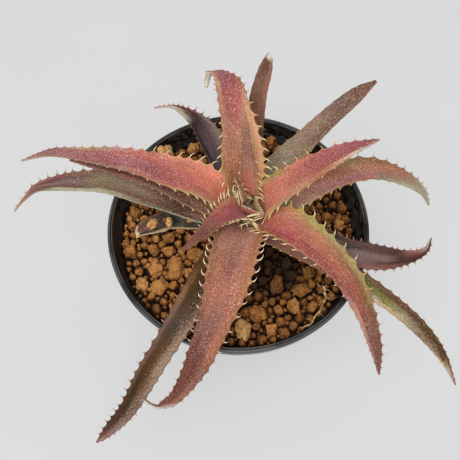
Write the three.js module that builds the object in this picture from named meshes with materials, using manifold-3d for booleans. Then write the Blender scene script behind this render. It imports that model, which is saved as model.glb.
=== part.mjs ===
// A spiny-leaved bromeliad hybrid growing in a small round nursery pot.
// Millimetres, +Z up. The origin is the middle of the pot's underside, where the pot stands.
import * as THREE from 'three';
import { mergeVertices } from 'three/addons/utils/BufferGeometryUtils.js';
import Module from 'manifold-3d';

const wasm = await Module();
wasm.setup();

// Driving dimensions of the pot
const potHeight = 66;
const lipRadius = 45;
const footRadius = 29;
const potWall = 1;
const floorThickness = 1.6;
const collarHeight = 8;
const collarStep = 1.1;
const collarSlope = 0.8;
const lipWidth = 1.6;
const lipBead = 0.9;
const lipRound = 0.25;
const footRound = 0.6;
const footChamfer = 0.8;
const potSides = 40;
const drainGrooves = 8;
const grooveWidth = 2;
const grooveDepth = 0.9;
const drainHoleRadius = 2.5;
const drainHoleRing = 19;
const grooveStart = 9;
const grooveOverrun = 4;
const drainTurn = 0.05;
const holeSides = 12;
const overcut = 1;

// Driving dimensions of the fill
const clearance = 0.3;
const fillBelowLip = 8.8;
const fillCrown = 1.2;
const fillBump = 0.55;
const fillShoulder = 1;
const fillRings = [0.84, 0.62, 0.4, 0.2];
// Gentle bumps of the fill: [radians per mm along X, radians per mm along Y, share of fillBump]
const fillWaves = [[0.53, 0.61, 1], [0.21, -0.37, 0.6]];

// The stem stands a little off the pot's middle. Its outline is [radius, height] from the foot up.
const stemX = 3.5;
const stemY = -1.5;
const stemOutline = [[3.3, 50], [5.5, 53], [4.7, 57.2], [3.1, 67.2], [2.2, 81], [1.3, 82]];
const stemSides = 12;

// Blade sections. A blade narrower than fullWidth is thinner too, down to tipThinning of the rest.
// sag is how far the midrib hangs below the listed points, as a share of the depth of the channel.
const stations = 16;
const heartStations = 8;
const ribThickness = 2.1;
const marginThickness = 0.5;
const toothHeight = 1.5;
const fullWidth = 7;
const tipThinning = 0.3;
const flankShare = 0.8;
const sag = 0.6;
const marginGrowth = 1.5;
const leafClearance = 0.4;

// Each leaf's midrib runs from the stem to the tip as [x, y, z, width of the blade there].
// cup is half the angle that the blade curls through, at its base and at its tip, in degrees.
// roll turns the blade about its midrib, at its base and at its tip, in degrees.
// The youngest leaf comes first: each later leaf clasps the ones before it.
const leaves = [
  {
    name: 'heart_leaf_back',
    rib: [[3.4, -1, 81.5, 2.4], [3.1, -1.3, 84, 2.6], [2.8, -1.7, 86.5, 2], [2.6, -2.2, 88.5, 0.6]],
    cup: [70, 40],
    roll: [0, 0],
    colour: 0x6d6f58,
  },
  {
    name: 'heart_leaf_front',
    rib: [[4.2, -2.3, 81.5, 2.4], [4.3, -2.1, 84, 2.6], [4.5, -1.8, 86, 1.8], [4.8, -1.5, 87.5, 0.6]],
    cup: [70, 40],
    roll: [0, 0],
    colour: 0x7c5a50,
  },
  {
    name: 'young_leaf_back',
    rib: [[3.5, 0.8, 80, 7], [3.2, 2.2, 87, 7], [2.8, 4.5, 94.5, 5.2], [2.4, 8.5, 101, 3.8],
      [1.8, 13, 107, 2.2], [1.5, 18, 111, 0.5]],
    cup: [95, 35],
    roll: [0, 0],
    colour: 0xa95a55,
  },
  {
    name: 'young_leaf_front_left',
    rib: [[4, -3.5, 79, 6], [1, -5.5, 86, 6.5], [-4, -9.5, 89.5, 5.2], [-9.5, -14.5, 91, 3.6],
      [-13.5, -17.5, 90, 2], [-16, -18.5, 88, 0.5]],
    cup: [60, 30],
    roll: [0, 0],
    colour: 0x9a5560,
  },
  {
    name: 'red_leaf_back',
    rib: [[3.2, 1, 77, 9], [1, 6, 92, 13.5], [-0.5, 13.5, 101, 12], [-2, 23.5, 105, 10.5],
      [-4.5, 31.5, 104, 7.5], [-8.5, 36.5, 101, 3], [-10.5, 34, 98, 0.6]],
    cup: [60, 30],
    roll: [0, 0],
    colour: 0xb86a60,
  },
  {
    name: 'red_leaf_right_back',
    rib: [[4.6, -1, 75, 9], [10, 0.5, 86, 11], [16.5, 2.5, 92.5, 9.5], [24.5, 5, 98, 7.5],
      [33, 7.5, 102, 4.8], [42, 10.5, 103, 0.6]],
    cup: [50, 30],
    roll: [0, 0],
    colour: 0xbb625b,
  },
  {
    name: 'red_leaf_left',
    rib: [[2, -0.5, 75, 9], [-10, 4.5, 86, 11.5], [-22, 7, 90, 10.5], [-35, 11, 89.5, 8.2],
      [-49, 15.5, 86, 5.6], [-63, 20.5, 79.5, 3.2], [-76.5, 23, 70, 0.6]],
    cup: [50, 30],
    roll: [0, 0],
    colour: 0xb8625c,
  },
  {
    name: 'red_leaf_right_front',
    rib: [[4.6, -2.4, 76, 9], [14, -9.5, 86, 11.5], [22, -17, 90, 10.5], [30.5, -25.5, 88, 8.5],
      [37.5, -35, 80, 6.5], [42.5, -43.5, 69.5, 4], [45, -50.5, 60, 0.6]],
    cup: [50, 30],
    roll: [0, 0],
    colour: 0xb9655a,
  },
  {
    name: 'red_leaf_front',
    rib: [[3.2, -2.6, 76, 10], [0, -13, 83.5, 14], [-3, -26, 87, 13], [-7, -39, 84.5, 10],
      [-12.5, -51, 76, 7], [-19, -58.5, 67.5, 4.5], [-25, -60.5, 62, 2], [-30, -57.5, 60, 0.6]],
    cup: [45, 35],
    roll: [0, 0],
    colour: 0xb06d62,
  },
  {
    name: 'tan_leaf_right',
    rib: [[4.6, -1, 72, 8], [19, 4, 81, 10], [31, 8, 85, 8.5], [42.5, 10, 86, 7],
      [54, 10, 81, 5.5], [62.5, 9.5, 73, 3], [67, 8, 65, 0.6]],
    cup: [50, 50],
    roll: [0, 15],
    colour: 0x9a6a50,
  },
  {
    name: 'brown_leaf_left',
    rib: [[2.2, -1, 72, 8], [-11, 3, 79.5, 10.5], [-24, 7.5, 82.5, 9], [-35.5, 11.5, 82.5, 6.5],
      [-47, 15.5, 80, 4], [-57.5, 19, 77, 0.8]],
    cup: [50, 30],
    roll: [0, 0],
    colour: 0x7c4a42,
  },
  {
    name: 'olive_leaf_right_front',
    rib: [[4.4, -2.4, 71, 8], [17, -12, 78, 9], [28.5, -20.5, 80.5, 8], [40.5, -29, 79.5, 6.5],
      [52, -37, 74, 6], [61.5, -44, 65.5, 4.4], [67, -48, 59.5, 2.6], [71, -52, 54, 0.6]],
    cup: [45, 45],
    roll: [0, 15],
    colour: 0x6d5f3c,
  },
  {
    name: 'olive_leaf_front_left',
    rib: [[2.6, -2.6, 69, 8], [-8, -18, 74, 9], [-17.5, -35.5, 74.5, 8], [-27, -49.5, 66, 7],
      [-35.5, -60, 54.5, 5.6], [-43, -66, 46, 3.4], [-47.5, -69, 41, 0.6]],
    cup: [45, 35],
    roll: [0, 0],
    colour: 0x655546,
  },
  {
    name: 'brown_leaf_right_back',
    rib: [[4.2, -0.6, 70, 7], [13, 14.5, 78.5, 8.5], [22, 21.5, 84, 7.5], [31, 28.5, 90, 6],
      [39, 34, 94, 4.6], [45, 37.5, 96, 1]],
    cup: [50, 40],
    roll: [0, 15],
    colour: 0x79614a,
  },
  {
    name: 'dark_leaf_back_left',
    rib: [[2.8, -0.6, 69, 7], [-5, 17, 77.5, 9], [-10.5, 26.5, 81, 8], [-15, 32.5, 82, 6],
      [-22, 38.5, 80, 3.2], [-29.5, 41.5, 76, 0.6]],
    cup: [50, 40],
    roll: [0, 0],
    colour: 0x4a3f3d,
  },
  {
    name: 'olive_leaf_left',
    rib: [[2.2, -1.6, 69, 8], [-14, 2, 75, 10.5], [-28, 6, 77, 10], [-42, 9.5, 77.5, 8.5],
      [-56, 11, 76, 6.4], [-69, 12.5, 70, 3.8], [-76, 10.5, 64, 1.8], [-80, 8, 60, 0.5]],
    cup: [45, 50],
    roll: [0, -15],
    colour: 0x6e6358,
  },
  {
    name: 'purple_leaf_right',
    rib: [[4.8, -1.8, 68, 7], [20, -8, 74, 9], [32.5, -14, 76, 9], [44, -17, 77, 8],
      [53.5, -17, 77, 5], [59, -15.5, 79, 2.4], [60.5, -12.5, 82, 0.6]],
    cup: [45, 45],
    roll: [0, 0],
    colour: 0x5d4648,
  },
  {
    name: 'brown_leaf_back',
    rib: [[3.4, -0.4, 67, 6.5], [4.5, 14, 76, 6.5], [5.5, 25.5, 84.5, 5.5], [6.5, 32.5, 95, 5.2],
      [8.5, 37.5, 101.5, 4], [9.5, 40.5, 104.5, 0.8]],
    cup: [50, 30],
    roll: [0, 0],
    colour: 0x7b5b4d,
  },
];

// The dry stub of an old leaf, which lies on the fill
const deadLeaf = {
  name: 'dead_leaf',
  rib: [[0, -0.6, 63.5, 5], [-8, 2.6, 61.6, 6], [-16, 4, 60.6, 6.5],
    [-26, 2.6, 60.2, 6.5], [-35.5, -0.8, 60.3, 5]],
  cup: [50, 50],
  roll: [0, -10],
  toothless: true,
  colour: 0x6b4a3c,
};

// A dry root that lies along the fill by the pot's wall
const dryRoot = [[28.5, -21.5], [29.6, -23.6], [28.2, -26.4], [26.4, -29.2], [24.2, -31.6], [21.2, -34]];
const dryRootRadius = 0.55;
const dryRootLift = 0.9;
const dryRootSteps = 10;
const dryRootSides = 6;

// Live roots in the fill, from the crown: heading in degrees, length out, depth down.
// rootBends gives the share of the length and of the depth that a root has reached at each bend.
const rootStart = 52;
const rootBends = [[0, 0], [0.35, 0.12], [0.72, 0.45], [1, 1]];
const roots = [
  { heading: 20, out: 24, down: 22 },
  { heading: 95, out: 18, down: 30 },
  { heading: 160, out: 26, down: 20 },
  { heading: 235, out: 20, down: 28 },
  { heading: 300, out: 25, down: 24 },
];
const rootRadius = 1.2;
const rootGrowth = 1.4;
const rootSteps = 7;
const rootSides = 5;

// Large grains on the fill: [x, y, length across, length deep]
const grains = [
  [-37, 8.5, 4.4, 4],
  [-29.5, -6.5, 4.2, 4.2],
  [-24.2, -7, 4.6, 4.2],
  [-21.6, -13, 6.6, 7.4],
  [-29.2, -13.5, 6, 5.6],
  [-27, -20, 5.8, 6.4],
  [-33, -19.4, 4.2, 5.6],
  [-14.6, -8.5, 6.2, 5.2],
  [1.4, -35.2, 5, 7],
  [21.4, -21.2, 7, 5],
  [13.2, -19.4, 5, 6.4],
  [18.8, -27.4, 4.8, 5.2],
  [6.6, -29.4, 5.6, 6.2],
  [11, -35, 4.4, 4.4],
  [24.5, -15, 4.4, 4.4],
  [9.8, 34, 5, 5.2],
  [-27, 27, 4.8, 4.8],
  [36, 3, 4.4, 4.4],
];
const grainHeight = 4.2;
const grainLift = 0.6;
const grainRoughness = 0.1;
const grainTwist = 0.6;

// Stretch and scale of the sine that gives each seed its own unevenness
const jitterStretch = 12.9898;
const jitterScale = 43758.5453;

const group = new THREE.Group();

function finish(colour, roughness, metalness = 0) {
  return new THREE.MeshStandardMaterial({ color: colour, roughness, metalness });
}

function addMesh(name, geometry, material) {
  const mesh = new THREE.Mesh(geometry, material);
  mesh.name = name;
  group.add(mesh);
}

// A closed geometry as a solid that can be cut and joined
function solidOf(geometry) {
  const bare = geometry.clone();
  bare.deleteAttribute('normal');
  bare.deleteAttribute('uv');
  const merged = mergeVertices(bare, 1e-4);
  return new wasm.Manifold(new wasm.Mesh({
    numProp: 3,
    vertProperties: new Float32Array(merged.attributes.position.array),
    triVerts: new Uint32Array(merged.index.array),
  }));
}

// The largest single body of a solid, as a geometry
function geometryOf(solid) {
  const bodies = solid.decompose();
  bodies.sort((a, b) => b.volume() - a.volume());
  const mesh = bodies[0].getMesh();
  const geometry = new THREE.BufferGeometry();
  geometry.setAttribute('position', new THREE.BufferAttribute(new Float32Array(mesh.vertProperties), 3));
  geometry.setIndex(new THREE.BufferAttribute(new Uint32Array(mesh.triVerts), 1));
  geometry.computeVertexNormals();
  return geometry;
}

// A number from -1 to 1 that is always the same for the same seed
function jitter(seed) {
  const wave = Math.sin(seed * jitterStretch) * jitterScale;
  return 2 * (wave - Math.floor(wave)) - 1;
}

// Solids turned about the vertical axis, with their profile given as [radius, height] pairs
function turned(profile, sides) {
  const points = profile.map(([radius, height]) => new THREE.Vector2(radius, height));
  const lathe = new THREE.LatheGeometry(points, sides);
  lathe.rotateX(Math.PI / 2);
  return lathe;
}

function upright(radius, low, high, sides) {
  const cylinder = new THREE.CylinderGeometry(radius, radius, high - low, sides);
  cylinder.rotateX(Math.PI / 2);
  cylinder.translate(0, 0, (low + high) / 2);
  return cylinder;
}

// Pot: thin wall with a stacking collar below the rolled lip, and a floor with drains
const collarLow = potHeight - collarHeight;
const bodyTopRadius = lipRadius - potWall - collarStep;
const innerFoot = footRadius - potWall;
const innerBodyTop = bodyTopRadius - potWall;

function potSolid() {
  const outer = [
    [0, 0],
    [footRadius - footRound, 0],
    [footRadius, footRound],
    [bodyTopRadius, collarLow],
    [bodyTopRadius + collarStep, collarLow + collarSlope],
    [lipRadius - lipRound, potHeight - 2 * lipBead],
    [lipRadius, potHeight - lipBead],
    [lipRadius - lipRound, potHeight - lipRound],
    [lipRadius - lipWidth / 2, potHeight],
  ];
  const inner = [
    [lipRadius - lipWidth + lipRound, potHeight - lipRound],
    [lipRadius - lipWidth, potHeight - lipBead],
    [innerBodyTop + collarStep, collarLow + collarSlope + potWall],
    [innerBodyTop, collarLow + potWall],
    [innerFoot, floorThickness + footChamfer],
    [innerFoot - footChamfer, floorThickness],
    [0, floorThickness],
  ];
  let pot = solidOf(turned([...outer, ...inner], potSides));
  const grooveLength = footRadius - grooveStart + grooveOverrun;
  for (let i = 0; i < drainGrooves; i += 1) {
    const heading = (i + drainTurn) * 2 * Math.PI / drainGrooves;
    const groove = new THREE.BoxGeometry(grooveLength, grooveWidth, 2 * grooveDepth);
    groove.translate(grooveStart + grooveLength / 2, 0, 0);
    groove.rotateZ(heading);
    pot = pot.subtract(solidOf(groove));
    const hole = upright(drainHoleRadius, -overcut, floorThickness + overcut, holeSides);
    hole.translate(drainHoleRing, 0, 0);
    hole.rotateZ(heading + Math.PI / drainGrooves);
    pot = pot.subtract(solidOf(hole));
  }
  return pot;
}

// Radius of the pot's inner wall at a height
function innerWall(height) {
  const low = floorThickness + footChamfer;
  const rise = (height - low) / (collarLow + potWall - low);
  return innerFoot + (innerBodyTop - innerFoot) * rise;
}

// Fill: a body of granules that the pot holds, with a low uneven crown round the stem
const fillTop = potHeight - fillBelowLip;

function fillHeight(x, y) {
  const reach = Math.min(1, Math.hypot(x, y) / innerBodyTop);
  const crown = fillCrown * (1 - reach * reach);
  let bumps = 0;
  for (const [alongX, alongY, share] of fillWaves) bumps += share * Math.sin(x * alongX + y * alongY);
  return fillTop + crown + fillBump * bumps;
}

function fillSolid() {
  const low = floorThickness + clearance;
  const edge = innerWall(fillTop - fillShoulder) - clearance;
  const profile = [
    [0, low],
    [innerFoot - footChamfer - 2 * clearance, low],
    [innerWall(low + 2 * footChamfer) - clearance, low + 2 * footChamfer],
    [edge, fillTop - fillShoulder],
    ...fillRings.map((share) => [edge * share, fillTop]),
    [0, fillTop],
  ];
  const geometry = turned(profile, potSides);
  const position = geometry.attributes.position;
  for (let i = 0; i < position.count; i += 1) {
    if (position.getZ(i) > fillTop - fillShoulder / 2) {
      position.setZ(i, fillHeight(position.getX(i), position.getY(i)));
    }
  }
  return solidOf(geometry);
}

// A round tube along a smooth path
function tubeSolid(points, radius, steps, sides) {
  const path = new THREE.CatmullRomCurve3(points.map((p) => new THREE.Vector3(...p)));
  const section = new THREE.Shape();
  for (let i = 0; i < sides; i += 1) {
    const angle = i * 2 * Math.PI / sides;
    const draw = i === 0 ? 'moveTo' : 'lineTo';
    section[draw](radius * Math.cos(angle), radius * Math.sin(angle));
  }
  section.closePath();
  return solidOf(new THREE.ExtrudeGeometry(section, { steps, extrudePath: path, bevelEnabled: false }));
}

// Stem: a short stem that swells to a crown in the fill, with a few roots that grew from it
function stemSolid(grow) {
  const profile = stemOutline.map(([radius, height]) => [radius + grow, height]);
  profile[0][1] -= grow;
  profile[profile.length - 1][1] += grow;
  const foot = profile[0][1];
  const top = profile[profile.length - 1][1];
  const stem = turned([[0, foot], ...profile, [0, top]], stemSides);
  stem.translate(stemX, stemY, 0);
  let solid = solidOf(stem);
  for (const root of roots) {
    const heading = THREE.MathUtils.degToRad(root.heading);
    const end = 1 + grow / root.down;
    const route = rootBends.map(([out, down]) => [
      stemX + root.out * out * end * Math.cos(heading),
      stemY + root.out * out * end * Math.sin(heading),
      rootStart - root.down * down * end,
    ]);
    solid = solid.add(tubeSolid(route, rootRadius + rootGrowth * grow, rootSteps, rootSides));
  }
  return solid;
}

// One blade. grow thickens and widens it, to make the space that the next leaf must leave free
function bladeSolid(leaf, grow) {
  const ribs = new THREE.CatmullRomCurve3(
    leaf.rib.map(([x, y, z]) => new THREE.Vector3(x, y, z)), false, 'catmullrom', 0.5);
  const widths = new THREE.CatmullRomCurve3(
    leaf.rib.map((point) => new THREE.Vector3(point[3], 0, 0)), false, 'catmullrom', 0.5);
  const up = new THREE.Vector3(0, 0, 1);
  const steps = leaf.rib.length > 4 ? stations : heartStations;
  const places = [];
  for (let i = 0; i <= steps; i += 1) {
    const share = i / steps;
    const centre = ribs.getPoint(share);
    const heading = ribs.getTangent(share);
    const width = widths.getPoint(share).x;
    const across = new THREE.Vector3().crossVectors(heading, up).normalize();
    const roll = THREE.MathUtils.degToRad(THREE.MathUtils.lerp(leaf.roll[0], leaf.roll[1], share));
    across.applyAxisAngle(heading, roll);
    const face = new THREE.Vector3().crossVectors(across, heading).normalize();
    const curl = THREE.MathUtils.degToRad(THREE.MathUtils.lerp(leaf.cup[0], leaf.cup[1], share));
    const bend = width / 2 / Math.sin(Math.min(curl, Math.PI / 2));
    const slender = Math.min(1, width / fullWidth);
    const hasTooth = !leaf.toothless && i % 2 === 1 && i > 1 && i < steps;
    const tooth = hasTooth ? toothHeight * THREE.MathUtils.lerp(tipThinning, 1, slender) : 0;
    if (i === 0) centre.addScaledVector(heading, -grow);
    if (i === steps) centre.addScaledVector(heading, grow);
    const place = (angle, offset, outward) => {
      const radius = bend - offset;
      const side = radius * Math.sin(angle) + outward * Math.cos(angle);
      const rise = bend - radius * Math.cos(angle) + Math.abs(outward * Math.sin(angle))
        - sag * bend * (1 - Math.cos(curl));
      return centre.clone().addScaledVector(across, side).addScaledVector(face, rise);
    };
    const half = (ribThickness / 2) * THREE.MathUtils.lerp(tipThinning, 1, slender) + grow;
    const flank = half * flankShare;
    const edge = marginThickness * THREE.MathUtils.lerp(tipThinning, 1, slender) / 2 + grow;
    const reach = tooth + grow * marginGrowth;
    places.push([
      place(-curl, edge, -reach),
      place(-curl / 2, flank, 0),
      place(0, half, 0),
      place(curl / 2, flank, 0),
      place(curl, edge, reach),
      place(curl, -edge, reach),
      place(curl / 2, -flank, 0),
      place(0, -half, 0),
      place(-curl / 2, -flank, 0),
      place(-curl, -edge, -reach),
    ]);
  }
  const sides = places[0].length;
  const positions = places.flat().flatMap((point) => [point.x, point.y, point.z]);
  const faces = [];
  for (let i = 0; i < steps; i += 1) {
    for (let k = 0; k < sides; k += 1) {
      const here = i * sides + k;
      const beside = i * sides + (k + 1) % sides;
      faces.push(here, beside, here + sides, beside, beside + sides, here + sides);
    }
  }
  const last = steps * sides;
  for (let k = 0; k < sides / 2 - 1; k += 1) {
    const opposite = sides - 1 - k;
    faces.push(k, opposite, k + 1, k + 1, opposite, opposite - 1);
    faces.push(last + k, last + k + 1, last + opposite, last + k + 1, last + opposite - 1, last + opposite);
  }
  const geometry = new THREE.BufferGeometry();
  geometry.setAttribute('position', new THREE.Float32BufferAttribute(positions, 3));
  geometry.setIndex(faces);
  return solidOf(geometry);
}

// One rough grain of fired clay
function grainSolid([x, y, wide, deep], index, grow) {
  const sphere = new THREE.IcosahedronGeometry(1, 1);
  const ball = mergeVertices(sphere.deleteAttribute('normal').deleteAttribute('uv'));
  const position = ball.attributes.position;
  for (let i = 0; i < position.count; i += 1) {
    const dent = 1 + grainRoughness * jitter(index * position.count + i);
    position.setXYZ(i,
      position.getX(i) * dent * (wide / 2 + grow),
      position.getY(i) * dent * (deep / 2 + grow),
      position.getZ(i) * dent * (grainHeight / 2 + grow));
  }
  ball.rotateZ(grainTwist * jitter(index));
  ball.translate(x, y, fillHeight(x, y) + grainLift);
  return solidOf(ball);
}

// Assembly
const plastic = finish(0x17181a, 0.45);
const clay = finish(0x9a6430, 0.95);
const paleClay = finish(0xb07a3e, 0.95);
const bark = finish(0x6a5138, 0.9);
const straw = finish(0xb59a6a, 0.85);

addMesh('pot', geometryOf(potSolid()), plastic);

const stem = stemSolid(0);
const stemSpace = stemSolid(leafClearance);
addMesh('stem', geometryOf(stem), bark);

const spaces = [stemSpace];
for (const leaf of leaves) {
  let blade = bladeSolid(leaf, 0);
  for (const space of spaces) blade = blade.subtract(space);
  addMesh(leaf.name, geometryOf(blade), finish(leaf.colour, 0.6));
  spaces.push(bladeSolid(leaf, leafClearance));
}

let stub = bladeSolid(deadLeaf, 0);
for (const space of spaces) stub = stub.subtract(space);
addMesh(deadLeaf.name, geometryOf(stub), finish(deadLeaf.colour, 0.9));

const stubSpace = bladeSolid(deadLeaf, leafClearance);
let fill = fillSolid().subtract(stemSpace).subtract(stubSpace);
const dryRoute = dryRoot.map(([x, y]) => [x, y, fillHeight(x, y) + dryRootLift]);
const rootSpace = tubeSolid(dryRoute, dryRootRadius + clearance, dryRootSteps, dryRootSides);
addMesh('dry_root', geometryOf(tubeSolid(dryRoute, dryRootRadius, dryRootSteps, dryRootSides)), straw);
fill = fill.subtract(rootSpace);

grains.forEach((grain, index) => {
  let solid = grainSolid(grain, index, 0);
  solid = solid.subtract(rootSpace).subtract(stubSpace);
  for (let earlier = 0; earlier < index; earlier += 1) {
    solid = solid.subtract(grainSolid(grains[earlier], earlier, clearance));
  }
  fill = fill.subtract(grainSolid(grain, index, clearance));
  addMesh(`grain_${String(index + 1).padStart(2, '0')}`, geometryOf(solid), paleClay);
});
addMesh('soil', geometryOf(fill), clay);

export default group;
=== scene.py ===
import math
from types import SimpleNamespace

import bpy
import numpy as np
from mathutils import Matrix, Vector


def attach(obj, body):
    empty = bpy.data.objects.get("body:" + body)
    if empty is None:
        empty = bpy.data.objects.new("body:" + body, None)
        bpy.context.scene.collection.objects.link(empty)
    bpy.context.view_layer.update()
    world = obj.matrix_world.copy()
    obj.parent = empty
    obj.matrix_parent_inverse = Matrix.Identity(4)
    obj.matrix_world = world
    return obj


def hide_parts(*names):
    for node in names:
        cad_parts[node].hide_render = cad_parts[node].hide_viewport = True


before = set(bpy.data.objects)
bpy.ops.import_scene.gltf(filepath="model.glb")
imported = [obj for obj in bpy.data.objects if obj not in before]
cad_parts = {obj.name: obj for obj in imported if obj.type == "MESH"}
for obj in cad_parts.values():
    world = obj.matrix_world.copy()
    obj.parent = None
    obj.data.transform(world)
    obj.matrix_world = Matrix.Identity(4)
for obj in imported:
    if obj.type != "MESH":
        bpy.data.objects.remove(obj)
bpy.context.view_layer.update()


# Nursery pot
# One thin wall of black polypropylene, moulded in one piece: a tapered body, a stacking collar, a rolled lip
# and a floor with drain holes and grooves. It stands on its floor and carries everything else.
MM = 0.001
POT_HEIGHT = 66
LIP_RADIUS = 45
FOOT_RADIUS = 29
POT_WALL = 1
FLOOR_THICKNESS = 1.6
COLLAR_LOW = 58
COLLAR_STEP = 1.1
CORNER_RADIUS = 0.7
CORNER_STEPS = 4
POT_SIDES = 160
SHARP_ANGLE = 40
DRAIN_COUNT = 8
DRAIN_TURN = 0.05
DRAIN_RING = 19
DRAIN_RADIUS = 2.5
DRAIN_SIDES = 24
GROOVE_START = 9
GROOVE_END = 33
GROOVE_WIDTH = 2
GROOVE_DEPTH = 0.9
CUT_PAST = 1
# The lip from its outside, over its crest and groove, to its inside: how far in from its edge and down from
# its top
lip_profile = (
    (0.35, 1.8), (0, 1.44), (0, 0), (0.85, 0), (0.95, 0.35), (1.15, 0.35), (1.2, 0.1), (1.6, 0.1), (1.7, 0.9),
)


def piece(name, points, faces, material, replaced=()):
    """A smooth mesh object from points in millimetres, of one material, riding on the body."""
    mesh = bpy.data.meshes.new(name)
    mesh.from_pydata((np.asarray(points) * MM).tolist(), [], faces)
    mesh.materials.append(material)
    mesh.shade_smooth()
    made = bpy.data.objects.new(name, mesh)
    bpy.context.scene.collection.objects.link(made)
    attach(made, "root")
    if replaced:
        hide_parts(*replaced)
    return made


def rounded(outline):
    """An outline of [radius, height] points with each inner corner rounded."""
    outline = [np.array(point, float) for point in outline]
    smooth = [outline[0]]
    for before, corner, after in zip(outline, outline[1:], outline[2:]):
        back = before - corner
        on = after - corner
        reach = min(CORNER_RADIUS, np.linalg.norm(back) / 2.2, np.linalg.norm(on) / 2.2)
        start = corner + back / np.linalg.norm(back) * reach
        end = corner + on / np.linalg.norm(on) * reach
        for step in range(CORNER_STEPS + 1):
            t = step / CORNER_STEPS
            smooth.append((1 - t) ** 2 * start + 2 * t * (1 - t) * corner + t * t * end)
    smooth.append(outline[-1])
    return smooth


def turned(outline, sides):
    """Points and faces of an outline, from axis to axis, turned about the upright axis."""
    rings = outline[1:-1]
    angles = np.arange(sides) * 2 * math.pi / sides
    points = [(0, 0, outline[0][1])]
    for radius, height in rings:
        points += [(radius * math.cos(a), radius * math.sin(a), height) for a in angles]
    points.append((0, 0, outline[-1][1]))
    faces = []
    last = len(points) - 1
    top = 1 + (len(rings) - 1) * sides
    for k in range(sides):
        beside = (k + 1) % sides
        faces.append((0, 1 + beside, 1 + k))
        faces.append((last, top + k, top + beside))
        for ring in range(len(rings) - 1):
            low = 1 + ring * sides
            faces.append((low + k, low + beside, low + beside + sides, low + k + sides))
    return points, faces


def plug(tree, made, inputs):
    """Sets inputs of a node, each to a value or to another node's output."""
    for key, value in inputs.items():
        if isinstance(value, bpy.types.NodeSocket):
            tree.links.new(value, made.inputs[key])
        else:
            made.inputs[key].default_value = value


def node(tree, kind, inputs, **settings):
    """A shader node with its settings and inputs."""
    made = tree.nodes.new(kind)
    for key, value in settings.items():
        setattr(made, key, value)
    plug(tree, made, inputs)
    return made


def maths(tree, operation, first, second=0.0, third=0.0):
    """One maths step, clamped to nothing, as an output."""
    return node(tree, "ShaderNodeMath", {0: first, 1: second, 2: third}, operation=operation).outputs[0]


def band(tree, value, low, high, to_low=0.0, to_high=1.0):
    """A smooth step of a value between two limits."""
    inputs = {"Value": value, "From Min": low, "From Max": high, "To Min": to_low, "To Max": to_high}
    return node(tree, "ShaderNodeMapRange", inputs, interpolation_type="SMOOTHSTEP").outputs["Result"]


def tinted(tree, share, first, second, blend="MIX"):
    """Two colours mixed by a share, as an output."""
    inputs = {0: share, 6: first, 7: second}
    return node(tree, "ShaderNodeMix", inputs, data_type="RGBA", blend_type=blend).outputs[2]


def paint(red, green, blue):
    """A colour as a paint chart gives it, from 0 to 255, in the values that a shader takes."""
    shares = [channel / 255 for channel in (red, green, blue)]
    return [s / 12.92 if s <= 0.04045 else ((s + 0.055) / 1.055) ** 2.4 for s in shares] + [1.0]


def finish(name):
    """A new material: its node tree and its main shader."""
    material = bpy.data.materials.new(name)
    material.use_nodes = True
    return material, material.node_tree, material.node_tree.nodes["Principled BSDF"]


def bumped(tree, shader, height, distance, strength=1.0):
    """Gives the shader a bump of so many millimetres from a height mask."""
    inputs = {"Height": height, "Distance": distance * MM, "Strength": strength}
    plug(tree, shader, {"Normal": node(tree, "ShaderNodeBump", inputs).outputs["Normal"]})


def group(name, inputs, outputs):
    """An empty node group with named sockets, and the nodes that hold its inputs and outputs."""
    tree = bpy.data.node_groups.new(name, "ShaderNodeTree")
    kinds = {"value": "NodeSocketFloat", "colour": "NodeSocketColor", "place": "NodeSocketVector"}
    for label, kind in inputs.items():
        tree.interface.new_socket(label, in_out="INPUT", socket_type=kinds[kind])
    for label, kind in outputs.items():
        tree.interface.new_socket(label, in_out="OUTPUT", socket_type=kinds[kind])
    return tree, tree.nodes.new("NodeGroupInput").outputs, tree.nodes.new("NodeGroupOutput")


def placed(tree, shared, inputs):
    """One use of a node group in a material, as its outputs."""
    return node(tree, "ShaderNodeGroup", inputs, node_tree=shared).outputs


def spot(tree):
    """The place on the object in millimetres, as an output."""
    place = node(tree, "ShaderNodeTexCoord", {}).outputs["Object"]
    return node(tree, "ShaderNodeVectorMath", {0: place, "Scale": 1 / MM}, operation="SCALE").outputs[0]


def noise(tree, place, scale, detail, roughness=0.5):
    """A noise from 0 to 1 with so many waves in a millimetre."""
    inputs = {"Vector": place, "Scale": scale, "Detail": detail, "Roughness": roughness}
    return node(tree, "ShaderNodeTexNoise", inputs).outputs["Fac"]


def rough_noise(tree, place, grain, detail=3.0, roughness=0.55):
    """A noise from 0 to 1 with about one grain in so many millimetres."""
    return noise(tree, place, 1 / grain, detail, roughness)


# Dust that settles in patches, used on the pot, the dead leaf and the dry root
dust, given, out = group(
    "settled_dust",
    {"Place": "place", "Colour": "colour", "Dust": "colour", "Amount": "value", "Size": "value"},
    {"Colour": "colour", "Mask": "value"},
)
dust_cloud = noise(dust, given["Place"], maths(dust, "DIVIDE", 1.0, given["Size"]), 6.0)
dust_edge = maths(dust, "SUBTRACT", 1.0, given["Amount"])
dust_mask = band(dust, dust_cloud, maths(dust, "SUBTRACT", dust_edge, 0.14), dust_edge)
plug(dust, out, {"Mask": dust_mask, "Colour": tinted(dust, dust_mask, given["Colour"], given["Dust"])})

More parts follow.
